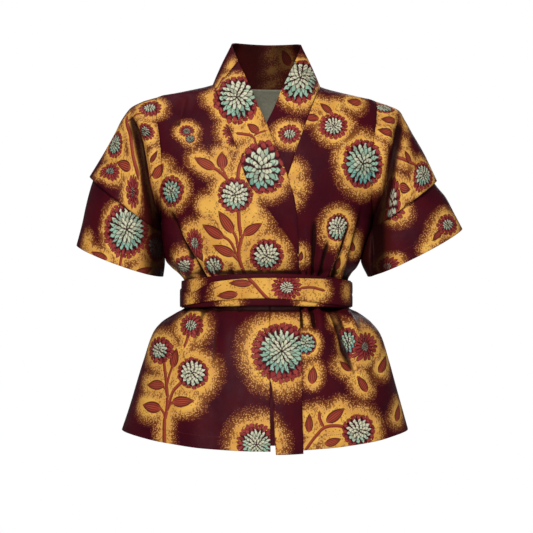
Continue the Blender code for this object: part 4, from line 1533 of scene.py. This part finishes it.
# cotton sets how far the painted shade goes towards brown, and each cloth below how far towards near black
cotton = {"roughness": (0.34, 0.48), "specular": 0.05, "sheen": 0.0, "warm": 0.75}
clothLooks = {
    "printedCotton": {**cotton, "shade": 0.85, "crumple": 1.0, "inset": 20},
    "beltCotton": {**cotton, "shade": 0.8, "crumple": 0.6, "inset": 2000},
    "oliveFacing": {"roughness": (0.7, 0.85), "specular": 0.2, "sheen": 0.1, "crumple": 0.8, "inset": 2000},
}


def clothMaterial(name, groups):
    look = clothLooks[name]
    made = bpy.data.materials.new(name)
    made.use_nodes = True
    shader = made.node_tree.nodes["Principled BSDF"].inputs
    wire = Wiring(made.node_tree)
    sewn = wire.group(groups["weave"], Pitch=0.8, Crumple=look["crumple"], Inset=look["inset"], Stitch=3.4)
    if name == "oliveFacing":
        colour = wire.mix(wire.noise(wire.cloth(), 240, 3).ramp(0.3, 0.7), inks["olive"], inks["oliveLight"])
        made.diffuse_color = inks["olive"]
    else:
        colour = wire.group(groups["ground"], Grain=printValues["grain"])["Color"]
        for motif in ("stem", "leaf", "bloom"):
            colour = wire.group(groups[motif], Ground=colour)["Color"]
        colour = wire.mix(sewn["Thread"] * 0.55, colour, inks["stitch"])
        # painted shade: the colour darkens to a warm brown and then near black in troughs, along the arm
        # folds, by the sleeves and inside the collar
        depth = wire.attribute("foldDepth", "Fac")
        colour = wire.mix(depth.ramp(0.05, 0.9, 0, look["warm"]), colour, inks["foldWarm"])
        colour = wire.mix(depth.ramp(0.3, 1.5, 0, look["shade"]), colour, inks["foldDark"])
        made.diffuse_color = inks["brick"]
    bump = wire.add("ShaderNodeBump")
    bump.inputs["Distance"].default_value = 0.001
    bump.inputs["Strength"].default_value = 1
    wire.put(bump.inputs["Height"], sewn["Height"])
    wire.put(shader["Base Color"], colour)
    wire.put(shader["Roughness"], sewn["Wear"].ramp(0.3, 0.7, *look["roughness"]))
    wire.put(shader["Specular IOR Level"], look["specular"])
    wire.put(shader["Sheen Weight"], look["sheen"])
    wire.put(shader["Sheen Roughness"], 0.4)
    wire.put(shader["Normal"], bump.outputs["Normal"])
    return made


# What each piece is cut from: width and length of its cut in metres, its flat area, and what
# it rests on.
cuts = {
    "front_right": (0.34, 0.66, 0.146, "back front_left"),
    "front_left": (0.34, 0.66, 0.156, "back"),
    "back": (0.58, 0.66, 0.288, "front_right front_left"),
    "neck_band": (0.33, 0.085, 0.0234, "back"),
    "band_right": (0.075, 0.32, 0.0172, "front_right"),
    "band_left": (0.075, 0.32, 0.0171, "front_left"),
    "band_right_lower": (0.055, 0.26, 0.0124, "front_right"),
    "sleeve_right_upper": (0.50, 0.16, 0.0535, "front_right back"),
    "sleeve_right_lower": (0.47, 0.17, 0.0575, "sleeve_right_upper"),
    "sleeve_left_upper": (0.49, 0.15, 0.049, "front_left back"),
    "sleeve_left_lower": (0.47, 0.17, 0.0527, "sleeve_left_upper"),
    "belt_under": (0.82, 0.047, None, "front_right front_left back"),
    "belt_over": (0.82, 0.046, 0.0297, "belt_under"),
    "back_facing": (0.15, 0.10, 0.0127, "back"),
}


def dressAll():
    groups = {
        "bloom": bloomGroup(petalRingGroup()),
        "leaf": leafGroup(),
        "stem": stemGroup(),
        "ground": groundGroup(),
        "weave": weaveGroup(),
    }
    looks = {name: clothMaterial(name, groups) for name in clothLooks}
    for name in pieces:
        look = "beltCotton" if name.startswith("belt") else "printedCotton"
        if name == "back_facing":
            look = "oliveFacing"
        else:
            printPiece(name)
        finishSheet(name, looks[look])
        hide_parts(name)
        width, length, area, under = cuts[name]
        under.split()
        print("dressed", name)


studioValues = {
    "floorSize": 2.4,
    "floorHeight": -0.95,
    "floorColour": (0.86, 0.86, 0.86, 1),
    "backdrop": (1, 1, 1, 1),
    "around": (0.9, 0.92, 0.95, 1),
    "aroundStrength": 0.15,
    "aim": (0, 0, -0.3),
}
lampTable = table(
    "name x y z size energy",
    ("keyLamp", -0.5, -2.9, 1.2, 0.8, 73),
    ("fillLamp", 2.2, -1.6, 0.3, 1.2, 8),
    ("topLamp", -0.9, 0.3, 1.9, 0.9, 8),
    ("backLamp", 0.4, 3.2, 0.5, 2.0, 15),
)


def makeStudio():
    mesh = gridMesh("paleFloor", 1, 1, studioValues["floorSize"] / 2)
    for vertex in mesh.vertices:
        vertex.co.z = studioValues["floorHeight"]
    paint = bpy.data.materials.new("palePaint")
    paint.use_nodes = True
    shader = paint.node_tree.nodes["Principled BSDF"].inputs
    shader["Base Color"].default_value = studioValues["floorColour"]
    shader["Roughness"].default_value = 0.8
    mesh.materials.append(paint)
    addObject("paleFloor", mesh)
    for name, x, y, z, size, energy in zip(*lampTable.values()):
        data = bpy.data.lights.new(name, "AREA")
        data.shape = "DISK"
        data.size = size
        data.energy = energy
        lamp = addObject(name, data)
        lamp.location = (x, y, z)
        aim = Vector(studioValues["aim"]) - lamp.location
        lamp.rotation_euler = aim.to_track_quat("-Z", "Y").to_euler()
    world = bpy.data.worlds.new("paleStudio")
    world.use_nodes = True
    bpy.context.scene.world = world
    wire = Wiring(world.node_tree)
    seen = wire.outputs(wire.add("ShaderNodeLightPath"))["Is Camera Ray"]
    sky = world.node_tree.nodes["Background"].inputs
    dim = studioValues["aroundStrength"]
    wire.put(sky["Color"], wire.mix(seen, studioValues["around"], studioValues["backdrop"]))
    wire.put(sky["Strength"], seen * (1 - dim) + dim)
    bpy.context.scene.view_settings.view_transform = "Standard"


dressAll()
makeStudio()
print("studio done")
bpy.context.view_layer.update()
